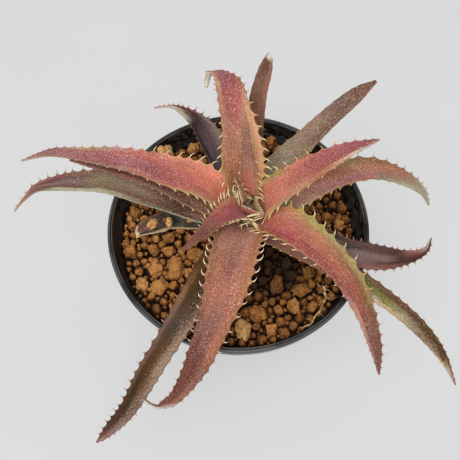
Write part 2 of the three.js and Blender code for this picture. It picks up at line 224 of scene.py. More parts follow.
# The plastic gathers dust and clay grit, more on surfaces that face the axis than on those that face outwards
moulded_black = paint(13, 14, 14)
faded_black = paint(23, 23, 23)
grey_dust = paint(60, 55, 48)
clay_grit = paint(96, 66, 38)
lip_highlight_grey = paint(74, 74, 72)
black_plastic, tree, shader = finish("black_plastic")
place = spot(tree)
cloud = rough_noise(tree, place, 14)
normal = node(tree, "ShaderNodeNewGeometry", {}).outputs["Normal"]
outward = node(tree, "ShaderNodeVectorMath", {0: normal, 1: place}, operation="DOT_PRODUCT").outputs["Value"]
facing_limits = (FOOT_RADIUS / 4, -FOOT_RADIUS / 4)
plain = tinted(tree, cloud, moulded_black, faded_black)
film = placed(tree, dust, {"Place": place, "Colour": plain, "Dust": grey_dust, "Size": 2.2,
                           "Amount": band(tree, outward, *facing_limits, 0.2, 0.4)})
grit = placed(tree, dust, {"Place": place, "Colour": film["Colour"], "Dust": clay_grit, "Size": 0.5,
                           "Amount": band(tree, outward, *facing_limits, 0.16, 0.24)})
height = node(tree, "ShaderNodeSeparateXYZ", {0: place}).outputs["Z"]
# Painted highlight: a paler grey line, in patches, along the top of the lip
on_lip = band(tree, height, POT_HEIGHT - 0.3, POT_HEIGHT - 0.1)
painted_lip_highlight = maths(tree, "MULTIPLY", on_lip, band(tree, cloud, 0.3, 0.6))
gloss = band(tree, cloud, 0.3, 0.7, 0.28, 0.4)
plug(tree, shader, {
    "Base Color": tinted(tree, painted_lip_highlight, grit["Colour"], lip_highlight_grey),
    "Roughness": maths(tree, "ADD", gloss, maths(tree, "MULTIPLY", film["Mask"], 0.25)),
    "Specular IOR Level": 0.45,
})
bumped(tree, shader, rough_noise(tree, place, 0.35, 2.0), 0.02, 0.5)

# Section of the pot, from the middle of its underside out, up and over the lip, and down to the floor inside
wall_top = LIP_RADIUS - POT_WALL - COLLAR_STEP
outline = [
    (0, 0),
    (FOOT_RADIUS, 0),
    (wall_top, COLLAR_LOW),
    (wall_top + COLLAR_STEP, COLLAR_LOW + 0.8),
    *((LIP_RADIUS - inward, POT_HEIGHT - down) for inward, down in lip_profile),
    (wall_top + COLLAR_STEP - POT_WALL, COLLAR_LOW + 1.8),
    (wall_top - POT_WALL, COLLAR_LOW + 1),
    (FOOT_RADIUS - POT_WALL, FLOOR_THICKNESS),
    (0, FLOOR_THICKNESS),
]
points, faces = turned(rounded(outline), POT_SIDES)
pot = piece("nursery_pot", points, faces, black_plastic, ["pot"])

# Grooves run out from the middle on the underside, and a hole goes through the floor between each two
cutter_points = []
cutter_faces = []


def add_cutter(points, faces):
    """Adds a solid to what is cut out of the pot."""
    start = len(cutter_points)
    cutter_points.extend(points)
    cutter_faces.extend(tuple(start + k for k in face) for face in faces)


for index in range(DRAIN_COUNT):
    turn = (index + DRAIN_TURN) * 2 * math.pi / DRAIN_COUNT
    across = np.array([-math.sin(turn), math.cos(turn), 0]) * GROOVE_WIDTH / 2
    outward = np.array([math.cos(turn), math.sin(turn), 0])
    corners = []
    for level in (-GROOVE_DEPTH, GROOVE_DEPTH):
        for distance, side in ((GROOVE_START, -1), (GROOVE_END, -1), (GROOVE_END, 1), (GROOVE_START, 1)):
            corners.append(outward * distance + across * side + np.array([0, 0, level]))
    add_cutter(corners, [(3, 2, 1, 0), (4, 5, 6, 7), (0, 1, 5, 4), (1, 2, 6, 5), (2, 3, 7, 6), (3, 0, 4, 7)])
    hole_turn = turn + math.pi / DRAIN_COUNT
    low = -CUT_PAST
    high = FLOOR_THICKNESS + CUT_PAST
    hole = [(0, low), (DRAIN_RADIUS, low), (DRAIN_RADIUS, high), (0, high)]
    hole_points, hole_faces = turned(hole, DRAIN_SIDES)
    middle = np.array([math.cos(hole_turn), math.sin(hole_turn), 0]) * DRAIN_RING
    add_cutter([np.array(point) + middle for point in hole_points], hole_faces)

cutter_mesh = bpy.data.meshes.new("drain_cutter")
cutter_mesh.from_pydata((np.array(cutter_points) * MM).tolist(), [], cutter_faces)
cutter = bpy.data.objects.new("drain_cutter", cutter_mesh)
bpy.context.scene.collection.objects.link(cutter)
drains = pot.modifiers.new("drains", "BOOLEAN")
drains.operation = "DIFFERENCE"
drains.solver = "EXACT"
drains.object = cutter
bpy.context.view_layer.update()
cut_mesh = bpy.data.meshes.new_from_object(pot.evaluated_get(bpy.context.evaluated_depsgraph_get()))
pot.modifiers.clear()
pot.data = cut_mesh
bpy.data.objects.remove(cutter)
cut_mesh.shade_smooth()
cut_mesh.set_sharp_from_angle(angle=math.radians(SHARP_ANGLE))


# Fill
# Fired clay crumbs from one to five millimetres, poured round the roots and never glued. Each rests on the
# ones below it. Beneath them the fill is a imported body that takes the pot's taper, short of its wall.
STEM_PLACE = (3.5, -1.5)
STEM_CLEARANCE = 3.6
FILL_TOP = 57.2
FILL_CROWN = 1.2
FILL_BUMP = 0.55
FILL_WAVES = ((0.53, 0.61, 1), (0.21, -0.37, 0.6))
FILL_GAP = 0.3
FILL_EDGE = 41.2
FILL_RINGS = 30
FILL_SIDES = 120
PACKED_DEPTH = 3.4
LEAF_SHADE_PLACE = (12, -12)
LEAF_SHADE_REACH = 8
LEAF_SHADE_EDGE = 7
CRUMB_SEED = 11
CRUMB_TRIES = 5000
CRUMB_TOUCH = 0.88
CRUMB_SHAPES = 20
CRUMB_SWELL = 1.05
LOBES = 26
PITS = 7
# Crumbs of each radius and the most there are of it, in the layer on top and in the layer under it
top_crumbs = ((2.5, 14), (2.1, 40), (1.8, 120), (1.55, 200), (1.3, 220), (1.0, 200), (0.75, 160), (0.55, 160))
under_crumbs = ((1.7, 130), (1.3, 200))
# Crumbs over the first radius have a finely divided mesh, and those over the second a medium one
COARSE_RADIUS = 2
MEDIUM_RADIUS = 1.2
# The larger crumbs, from this radius up, grow rarer from the first x to the second
LARGE_RADIUS = 1.7
LARGE_FADES = (-45, 5)
# Clumps that lean on the wall at the back: [x, y, z, radius], and how much paler each is than the rest
clumps = (
    (-26.4, 29.4, 64, 3.2, 0.9), (-21, 30.6, 61.6, 2.2, 0), (-16.6, 33, 61.4, 2.3, 0.3),
    (12, 35, 62.6, 2.8, 0.2), (8.2, 33.4, 61.6, 2.4, 0), (15.6, 32, 61.2, 2.2, 0), (20, 31, 60.6, 1.8, 0),
)


def marked(made, **marks):
    """Writes named numbers, one for each point, on a piece's mesh, for its material to read."""
    for name, values in marks.items():
        layer = made.data.attributes.new(name, "FLOAT", "POINT")
        layer.data.foreach_set("value", np.asarray(values, np.float32))


def mark(tree, name):
    """A number that a mesh carries under this name, as an output."""
    return node(tree, "ShaderNodeAttribute", {}, attribute_name=name).outputs["Fac"]


def fill_height(x, y):
    """Height of the fill's surface, in millimetres."""
    reach = np.minimum(1, np.hypot(x, y) / (wall_top - POT_WALL))
    bumps = sum(share * np.sin(x * along_x + y * along_y) for along_x, along_y, share in FILL_WAVES)
    return FILL_TOP + FILL_CROWN * (1 - reach * reach) + FILL_BUMP * bumps


def unit(rows):
    """Each row as a direction of length one."""
    return rows / np.maximum(np.linalg.norm(rows, axis=-1, keepdims=True), 1e-9)


def ball(levels):
    """Points and faces of an even ball of radius one, made of triangles."""
    bpy.ops.mesh.primitive_ico_sphere_add(subdivisions=levels, radius=1)
    made = bpy.context.object
    points = np.array([v.co for v in made.data.vertices])
    faces = np.array([list(p.vertices) for p in made.data.polygons])
    bpy.data.objects.remove(made)
    return points, faces


def chipped(points, chance, cuts, waves, grit, least_knobbly=0.0):
    """A ball made a clump of round lobes with flat breaks, and how far each point lies out of a hollow."""
    knobbly = chance.uniform(least_knobbly, 1)
    lobes = int(8 + LOBES * knobbly)
    far = chance.uniform(0.3, 0.42, lobes) + 0.3 * knobbly
    thick = chance.uniform(0.5, 0.62, lobes) - 0.26 * knobbly
    toward = points @ unit(chance.normal(size=(lobes, 3))).T * far
    inside = thick ** 2 - far ** 2 + toward ** 2
    reach = np.where((inside > 0) & (toward > 0), toward + np.sqrt(np.maximum(inside, 0)), 0)
    points = points * np.maximum(0.66, reach.max(axis=1))[:, None] * chance.uniform(0.95, 1.3, 3)
    for _ in range(cuts):
        way = unit(chance.normal(size=3))
        beyond = np.maximum(points @ way - chance.uniform(0.6, 0.9), 0)
        points = points - np.outer(beyond * 0.8, way)
    relief = np.zeros(len(points))
    for _ in range(waves):
        way = unit(chance.normal(size=3))
        quick = chance.uniform(2.5, 15)
        relief += np.sin(points @ way * quick + chance.uniform(0, 6)) * 6 / (3 + quick)
    relief /= math.sqrt(waves)
    for _ in range(PITS):
        far = np.linalg.norm(unit(points) - unit(chance.normal(size=3)), axis=1)
        relief -= chance.uniform(1.5, 3.5) * np.exp(-(far / chance.uniform(0.14, 0.32)) ** 2)
    return points * (1 + grit * relief[:, None]), relief


def spun(chance):
    """A random turn, as a matrix."""
    made, _ = np.linalg.qr(chance.normal(size=(3, 3)))
    return made * np.sign(np.linalg.det(made))


# Clay: pores, dark with painted shade in their hollows, and pale rubbed edges, used on the fill and on the
# large grains
clay, given, out = group(
    "fired_clay",
    {"Place": "place", "Tone": "value", "Size": "value"},
    {"Colour": "colour", "Roughness": "value", "Height": "value"},
)
clay_scale = maths(clay, "DIVIDE", 1.0, given["Size"])
pore_scale = maths(clay, "MULTIPLY", clay_scale, 3.2)
coarse = noise(clay, given["Place"], clay_scale, 4.0)
grainy = noise(clay, given["Place"], pore_scale, 5.0, 0.7)
pore_inputs = {"Vector": given["Place"], "Scale": pore_scale}
pores = node(clay, "ShaderNodeTexVoronoi", pore_inputs).outputs["Distance"]
clay_brown = paint(104, 60, 24)
clay_ochre = paint(166, 106, 48)
clay_sand = paint(226, 178, 114)
clay_rust = paint(132, 76, 32)
clay_rubbed = paint(206, 156, 96)
pore_shade = paint(58, 32, 14)
dark_to_mid = tinted(clay, band(clay, given["Tone"], 0.0, 0.5), clay_brown, clay_ochre)
toned = tinted(clay, band(clay, given["Tone"], 0.5, 1.3), dark_to_mid, clay_sand)
mottled = tinted(clay, band(clay, coarse, 0.4, 0.7, 0.0, 0.6), toned, clay_rust)
rubbed = tinted(clay, band(clay, grainy, 0.5, 0.72, 0.0, 0.6), mottled, clay_rubbed)
solid = band(clay, pores, 0.08, 0.38)
# Painted shade: the pores are darkened as hollows
pitted = maths(clay, "MULTIPLY", maths(clay, "SUBTRACT", 1.0, solid), 0.75)
plug(clay, out, {
    "Colour": tinted(clay, pitted, rubbed, pore_shade),
    "Roughness": band(clay, grainy, 0.3, 0.7, 0.82, 0.98),
    "Height": maths(clay, "ADD", maths(clay, "MULTIPLY", solid, 0.7), grainy),
})

# One clay for all crumbs: each carries its tone, and how little painted shade each of its points has. Painted
# shade darkens its sides a little, and a painted highlight lightens its top.
painted_shade_brown = paint(30, 17, 8)
side_shade_tint = paint(150, 118, 88)
top_highlight_sand = paint(216, 164, 102)
granule_clay, tree, shader = finish("granule_clay")
look = placed(tree, clay, {"Place": spot(tree), "Tone": mark(tree, "tone"), "Size": 1.7})
normal = node(tree, "ShaderNodeNewGeometry", {}).outputs["Normal"]
upward = node(tree, "ShaderNodeSeparateXYZ", {0: normal}).outputs["Z"]
painted_side_shade = tinted(tree, band(tree, upward, 0.9, 0.2, 0.0, 0.5), look["Colour"], side_shade_tint, "MULTIPLY")
painted_top_highlight = tinted(tree, band(tree, upward, 0.75, 1.0, 0.0, 0.14), painted_side_shade, top_highlight_sand)
plug(tree, shader, {
    "Base Color": tinted(tree, mark(tree, "clean"), painted_shade_brown, painted_top_highlight),
    "Roughness": look["Roughness"],
    "Specular IOR Level": 0.25,
})
bumped(tree, shader, look["Height"], 0.2)

# The imported body, dark with painted shade where the crumbs lie on it
fill_low = FLOOR_THICKNESS + FILL_GAP
foot_inside = FOOT_RADIUS - POT_WALL
rings = [(0, fill_low), (foot_inside - 1.4, fill_low), (foot_inside - FILL_GAP, fill_low + 1.6)]
rings.append((FILL_EDGE - 0.5, FILL_TOP - PACKED_DEPTH))
rings += [(FILL_EDGE * (1 - step / FILL_RINGS), FILL_TOP) for step in range(1, FILL_RINGS)]
rings.append((0, FILL_TOP))
points, faces = turned(rings, FILL_SIDES)
points = np.array(points, float)
on_top = points[:, 2] > FILL_TOP - 0.1
crumbly = 0.35 * np.sin(points[:, 0] * 2.9 + 1.3 * np.sin(points[:, 1] * 2.1)) * np.sin(points[:, 1] * 2.7)
points[on_top, 2] = (fill_height(points[:, 0], points[:, 1]) - PACKED_DEPTH + crumbly)[on_top]
packed = piece("packed_fill", points, faces, granule_clay, ["soil"])
# Painted shade: the top, seen between the crumbs, is fully dark, the rest partly
marked(packed, tone=np.full(len(points), 0.3), clean=np.where(on_top, 0.0, 0.35))

# Large grains lie loose on top: [x, y, length across, length deep, paleness], the first four numbers as the
# solids have them
GRAIN_HEIGHT = 4.2
GRAIN_LIFT = 0.6
GRAIN_SWELL = 1.1
GRAIN_SEED = 100
grains = [
    (-37, 8.5, 4.4, 4, 0.7), (-29.5, -6.5, 4.2, 4.2, 0.7), (-24.2, -7, 4.6, 4.2, 0.6),
    (-21.6, -13, 6.6, 7.4, 0.6), (-29.2, -13.5, 6, 5.6, 0.7), (-27, -20, 5.8, 6.4, 0.7),
    (-33, -19.4, 4.2, 5.6, 0.9), (-14.6, -8.5, 6.2, 5.2, 0.6), (1.4, -35.2, 5, 7, 1.3),
    (21.4, -21.2, 7, 5, 0.6), (13.2, -19.4, 5, 6.4, 0.4), (18.8, -27.4, 4.8, 5.2, 0.7),
    (6.6, -29.4, 5.6, 6.2, 0.5), (11, -35, 4.4, 4.4, 0.7), (24.5, -15, 4.4, 4.4, 0.4),
    (9.8, 34, 5, 5.2, 0.8), (-27, 27, 4.8, 4.8, 0.9), (36, 3, 4.4, 4.4, 0.7),
]
chance = np.random.default_rng(CRUMB_SEED)
crumb_balls = {"coarse": ball(4), "medium": ball(3), "fine": ball(2)}
crumb_shapes = {tier: [chipped(made[0], chance, 8, 16, 0.075, 0.25) for _ in range(CRUMB_SHAPES)]
                for tier, made in crumb_balls.items()}
crumb_parts = {tier: [] for tier in crumb_balls}


def settled(sizes, taken):
    """Places and radii of crumbs side by side: the large ones first, then ever smaller ones in the gaps."""
    taken = np.array(taken)
    given_places = len(taken)
    for radius, most in sizes:
        count = 0
        tries = int(CRUMB_TRIES / radius ** 2)
        far = (FILL_EDGE + FILL_GAP - radius) * np.sqrt(chance.uniform(0, 1, tries))
        turns = chance.uniform(0, 2 * math.pi, tries)
        for x, y in zip(far * np.cos(turns), far * np.sin(turns)):
            clear = np.hypot(taken[:, 0] - x, taken[:, 1] - y) - taken[:, 2] * CRUMB_TOUCH
            if clear.min() <= radius * CRUMB_TOUCH:
                continue
            if radius < LARGE_RADIUS or x > chance.uniform(*LARGE_FADES):
                taken = np.vstack([taken, (x, y, radius)])
                count += 1
                if count == most:
                    break
    return taken[given_places:]


def outside_leaf_shade(x, y, least=0.12):
    """From the pocket under the front right leaves, where the clay has painted shade, to where it has none.
    """
    return np.clip((math.hypot(x - LEAF_SHADE_PLACE[0], y - LEAF_SHADE_PLACE[1]) - LEAF_SHADE_REACH) / LEAF_SHADE_EDGE, least, 1)


def lay(x, y, z, radius, pale=0.0):
    """Adds one crumb, darker with painted shade: low in the fill, in its hollows and under the front right
    leaves.
    """
    above = z + radius - fill_height(x, y)
    size = radius if above > -0.9 else 0
    tier = "coarse" if size > COARSE_RADIUS else "medium" if size > MEDIUM_RADIUS else "fine"
    shape, relief = crumb_shapes[tier][chance.integers(CRUMB_SHAPES)]
    depth = np.clip((above + 2.2) / 2.6, 0.12, 1)
    points = shape @ spun(chance) * radius + np.array([x, y, z])
    tone = chance.uniform(0.2, 0.75) - x * 0.004 + min(0, y + 8) * 0.012 + pale
    tones = np.full(len(points), np.clip(tone, 0, 1.3))
    # Painted shade: darker low in the fill, under the front right leaves and in the crumb's hollows
    crumb_parts[tier].append((points, tones, depth * outside_leaf_shade(x, y) * np.clip(0.95 + 0.14 * relief, 0.1, 1)))


for clump in clumps:
    lay(*clump)
beside_grains = [(x, y, (wide + deep) / 4) for x, y, wide, deep, _ in grains]
for x, y, radius in settled(top_crumbs, [(*STEM_PLACE, STEM_CLEARANCE), *beside_grains]):
    lay(x, y, fill_height(x, y) - 0.7 + 0.3 * radius + chance.uniform(-0.4, 0.4), radius * CRUMB_SWELL)
for x, y, radius in settled(under_crumbs, [(*STEM_PLACE, STEM_CLEARANCE)]):
    lay(x, y, fill_height(x, y) - 3.2 + chance.uniform(-0.3, 0.3), radius * CRUMB_SWELL)

for tier, parts in crumb_parts.items():
    corner_count = len(crumb_balls[tier][0])
    faces = np.vstack([crumb_balls[tier][1] + k * corner_count for k in range(len(parts))]).tolist()
    points, tones, cleans = (np.concatenate(values) for values in zip(*parts))
    crumbs = piece(f"clay_crumbs_{tier}", points, faces, granule_clay)
    marked(crumbs, tone=tones, clean=cleans)

fine_ball = ball(5)
for index, (x, y, wide, deep, pale) in enumerate(grains):
    own_chance = np.random.default_rng(GRAIN_SEED + index)
    shape, relief = chipped(fine_ball[0], own_chance, 6, 30, 0.06, 0.4)
    half = np.array([wide / 2, deep / 2, GRAIN_HEIGHT / 2]) * GRAIN_SWELL
    shape = shape * half + np.array([x, y, fill_height(x, y) + GRAIN_LIFT])
    number = f"{index + 1:02d}"
    grain = piece(f"clay_grain_{number}", shape, fine_ball[1].tolist(), granule_clay,
                  [f"grain_{number}"])
    # Painted shade under the front right leaves and in the grain's hollows
    clean = outside_leaf_shade(x, y, 0.5) * np.clip(0.95 + 0.12 * relief, 0, 1)
    marked(grain, tone=np.full(len(shape), pale), clean=clean)


# Stem
# The short woody stem that the leaves clasp. It swells to a crown in the fill and holds the plant there with
# a few roots that grew out of it. Leaf scars ring it, and the fill hides nearly all of it.
STEM_OUTLINE = ((3.3, 50), (5.5, 53), (4.7, 57.2), (3.1, 67.2), (2.2, 81), (1.3, 82))
STEM_STEPS = 60
STEM_SIDES = 48
SCAR_DEPTH = 0.05
SCAR_WAVE = 4.2
ROOT_START = 52
ROOT_BENDS = ((0, 0), (0.35, 0.12), (0.72, 0.45), (1, 1))
ROOT_RADIUS = 1.2
ROOT_THINNING = 0.45
ROOT_STEPS = 28
ROOT_SIDES = 10
# Roots: the turn in degrees, the reach and the drop of each
roots = [(20, 24, 22), (95, 18, 30), (160, 26, 20), (235, 20, 28), (300, 25, 24)]


def spline(points, shares):
    """Places on a smooth curve that passes evenly through the points, at shares of the way from 0 to 1."""
    points = np.asarray(points, float)
    ends = np.vstack([2 * points[0] - points[1], points, 2 * points[-1] - points[-2]])
    spots = np.clip(np.asarray(shares, float), 0, 1) * (len(points) - 1)
    low = np.minimum(spots.astype(int), len(points) - 2)
    t = (spots - low)[:, None]
    a, b, c, d = (ends[low + k] for k in range(4))
    square = 2 * a - 5 * b + 4 * c - d
    cube = 3 * b - a - 3 * c + d
    return 0.5 * (2 * b + (c - a) * t + square * t ** 2 + cube * t ** 3)


def joined(parts):
    """Several lots of points and faces as one."""
    points = []
    faces = []
    start = 0
    for some_points, some_faces in parts:
        points.append(np.asarray(some_points, float))
        faces += [tuple(start + k for k in face) for face in some_faces]
        start += len(some_points)
    return np.vstack(points), faces


def ring_faces(count, sides):
    """Faces of a closed skin over rings of points, one ring after another, with a cap at each end."""
    faces = []
    for k in range(count - 1):
        for j in range(sides):
            a = k * sides + j
            b = k * sides + (j + 1) % sides
            faces.append((a, b, b + sides, a + sides))
    faces.append(tuple(range(sides - 1, -1, -1)))
    faces.append(tuple(range((count - 1) * sides, count * sides)))
    return faces


def circle(sides, first, second):
    """Points round the middle, in the plane of two directions."""
    angles = np.arange(sides) * 2 * math.pi / sides
    return np.outer(np.cos(angles), first) + np.outer(np.sin(angles), second)


def tube(path, radii, sides):
    """Points and faces of a round tube along a path, with a radius at each of its places and closed ends."""
    heading = unit(np.gradient(path, axis=0))
    side = unit(np.cross(heading, [0.12, 0.2, 1]))
    lift = np.cross(side, heading)
    rings = [centre + circle(sides, side[k], lift[k]) * radii[k] for k, centre in enumerate(path)]
    return np.vstack(rings), ring_faces(len(path), sides)


dark_bark = paint(58, 38, 24)
dry_bark = paint(140, 108, 72)
bark, tree, shader = finish("stem_bark")
stretch = {0: spot(tree), 1: (1.0, 1.0, 0.3)}
stretched = node(tree, "ShaderNodeVectorMath", stretch, operation="MULTIPLY").outputs[0]
fibre = rough_noise(tree, stretched, 0.9, 6.0, 0.7)
plug(tree, shader, {
    "Base Color": tinted(tree, band(tree, fibre, 0.35, 0.65), dark_bark, dry_bark),
    "Roughness": 0.85,
})
bumped(tree, shader, fibre, 0.3)

profile = spline(STEM_OUTLINE, np.linspace(0, 1, STEM_STEPS))
profile[:, 0] *= 1 + SCAR_DEPTH * np.sin(profile[:, 1] * SCAR_WAVE) ** 3
outline = [(0, profile[0, 1]), *profile, (0, profile[-1, 1])]
stem_points, stem_faces = turned(outline, STEM_SIDES)
parts = [(np.array(stem_points) + np.array([*STEM_PLACE, 0]), stem_faces)]
steps = np.linspace(0, 1, ROOT_STEPS)
for heading, reach, drop in roots:
    turn = math.radians(heading)
    route = [(STEM_PLACE[0] + reach * far * math.cos(turn), STEM_PLACE[1] + reach * far * math.sin(turn),
              ROOT_START - drop * deep) for far, deep in ROOT_BENDS]
    path = spline(route, steps)
    path += 0.25 * np.sin(path * 0.9 + heading)
    parts.append(tube(path, ROOT_RADIUS * (1 - ROOT_THINNING * steps), ROOT_SIDES))
points, faces = joined(parts)
piece("stem_and_roots", points, faces, bark, ["stem"])


# Leaves
# Stiff, thick, channelled blades that clasp the stem and arch outwards. Their skin is waxy and dusted with
# white scurf, and each margin is scalloped between hooked cream spines. The youngest stands innermost.
RIB_THICKNESS = 2.1
MARGIN_THICKNESS = 0.5
FULL_WIDTH = 7
TIP_THINNING = 0.3
SAG = 0.6
STATION_GAP = 0.55
RIB_STEPS = 600
ACROSS_POINTS = 19
EDGE_EASE = 0.45
WAVER = 0.22
SWELL = 0.03
FLARE = 0.56
FLARE_START = 0.75
SPINE_SIDES = 6
SPINE_STEPS = 7
SPINE_STOP = 0.975
SPINE_LENGTHENING = 1.15
BLADE_SEED = 40
SKIN_SEED_STEP = 7.3
RIM_LIMITS = (0.93, 0.99)
# Where each lane of colour gives way to the next, across the leaf
LANE_BLENDS = ((-0.85, -0.62), (-0.6, -0.05), (0.05, 0.6), (0.62, 0.85))

palette = {
    "coral": paint(204, 126, 103),
    "coral_orange": paint(187, 112, 87),
    "salmon": paint(184, 102, 90),
    "warm_rose": paint(165, 93, 75),
    "rose": paint(162, 85, 83),
    "deep_rose": paint(160, 72, 74),
    "pink_mauve": paint(154, 83, 94),
    "dusty_pink": paint(178, 128, 124),
    "dull_mauve": paint(148, 106, 102),
    "grey_pink": paint(158, 110, 96),
    "peach_rose": paint(182, 126, 102),
    "peach": paint(196, 142, 108),
    "tan": paint(156, 102, 70),
    "tan_rose": paint(170, 106, 82),
    "pale_tan": paint(176, 118, 82),
    "olive_tan": paint(138, 100, 64),
    "olive_brown": paint(88, 64, 40),
    "dark_olive": paint(56, 41, 12),
    "taupe": paint(124, 92, 74),
    "taupe_rose": paint(146, 104, 86),
    "grey_taupe": paint(142, 120, 98),
    "grey_olive": paint(136, 124, 102),
    "grey_green": paint(126, 116, 86),
    "bright_olive": paint(92, 86, 34),
    "yellow_olive": paint(160, 146, 88),
    "brown": paint(104, 70, 50),
    "dull_brown": paint(108, 84, 70),
    "moss_brown": paint(80, 56, 18),
    "apricot": paint(230, 176, 134),
    "lime": paint(184, 168, 92),
    "ivory": paint(228, 208, 178),
    "dull_grape": paint(100, 78, 72),
    "pale_olive": paint(168, 158, 126),
    "red_brown": paint(106, 60, 50),
    "rose_brown": paint(130, 86, 74),
    "purple_brown": paint(80, 52, 42),
    "maroon": paint(66, 40, 34),
    "blackish": paint(32, 25, 25),
    "silver_green": paint(182, 186, 158),
    "straw": paint(208, 180, 128),
    "cream": paint(226, 212, 164),
    "gold_cream": paint(212, 184, 118),
    "pale_pink": paint(206, 152, 130),
    "frost": paint(210, 204, 194),
    "leaf_green": paint(108, 114, 46),
    "grey_mauve": paint(122, 104, 102),
    "slate_violet": paint(82, 74, 78),
}


def a_leaf(name, *lanes, **own):
    """What is known of one leaf, with what most leaves share."""
    common = {
        "roll": (0, 0), "late_roll": 1, "gaps": (2.7, 4.2, 2.6), "bends": (-1.7, -0.9, 0.25), "fading": 2,
        "spine": "cream", "rim": "lime", "underside": "grey_green",
    }
    return SimpleNamespace(name=name, lanes=lanes, **{**common, **own})


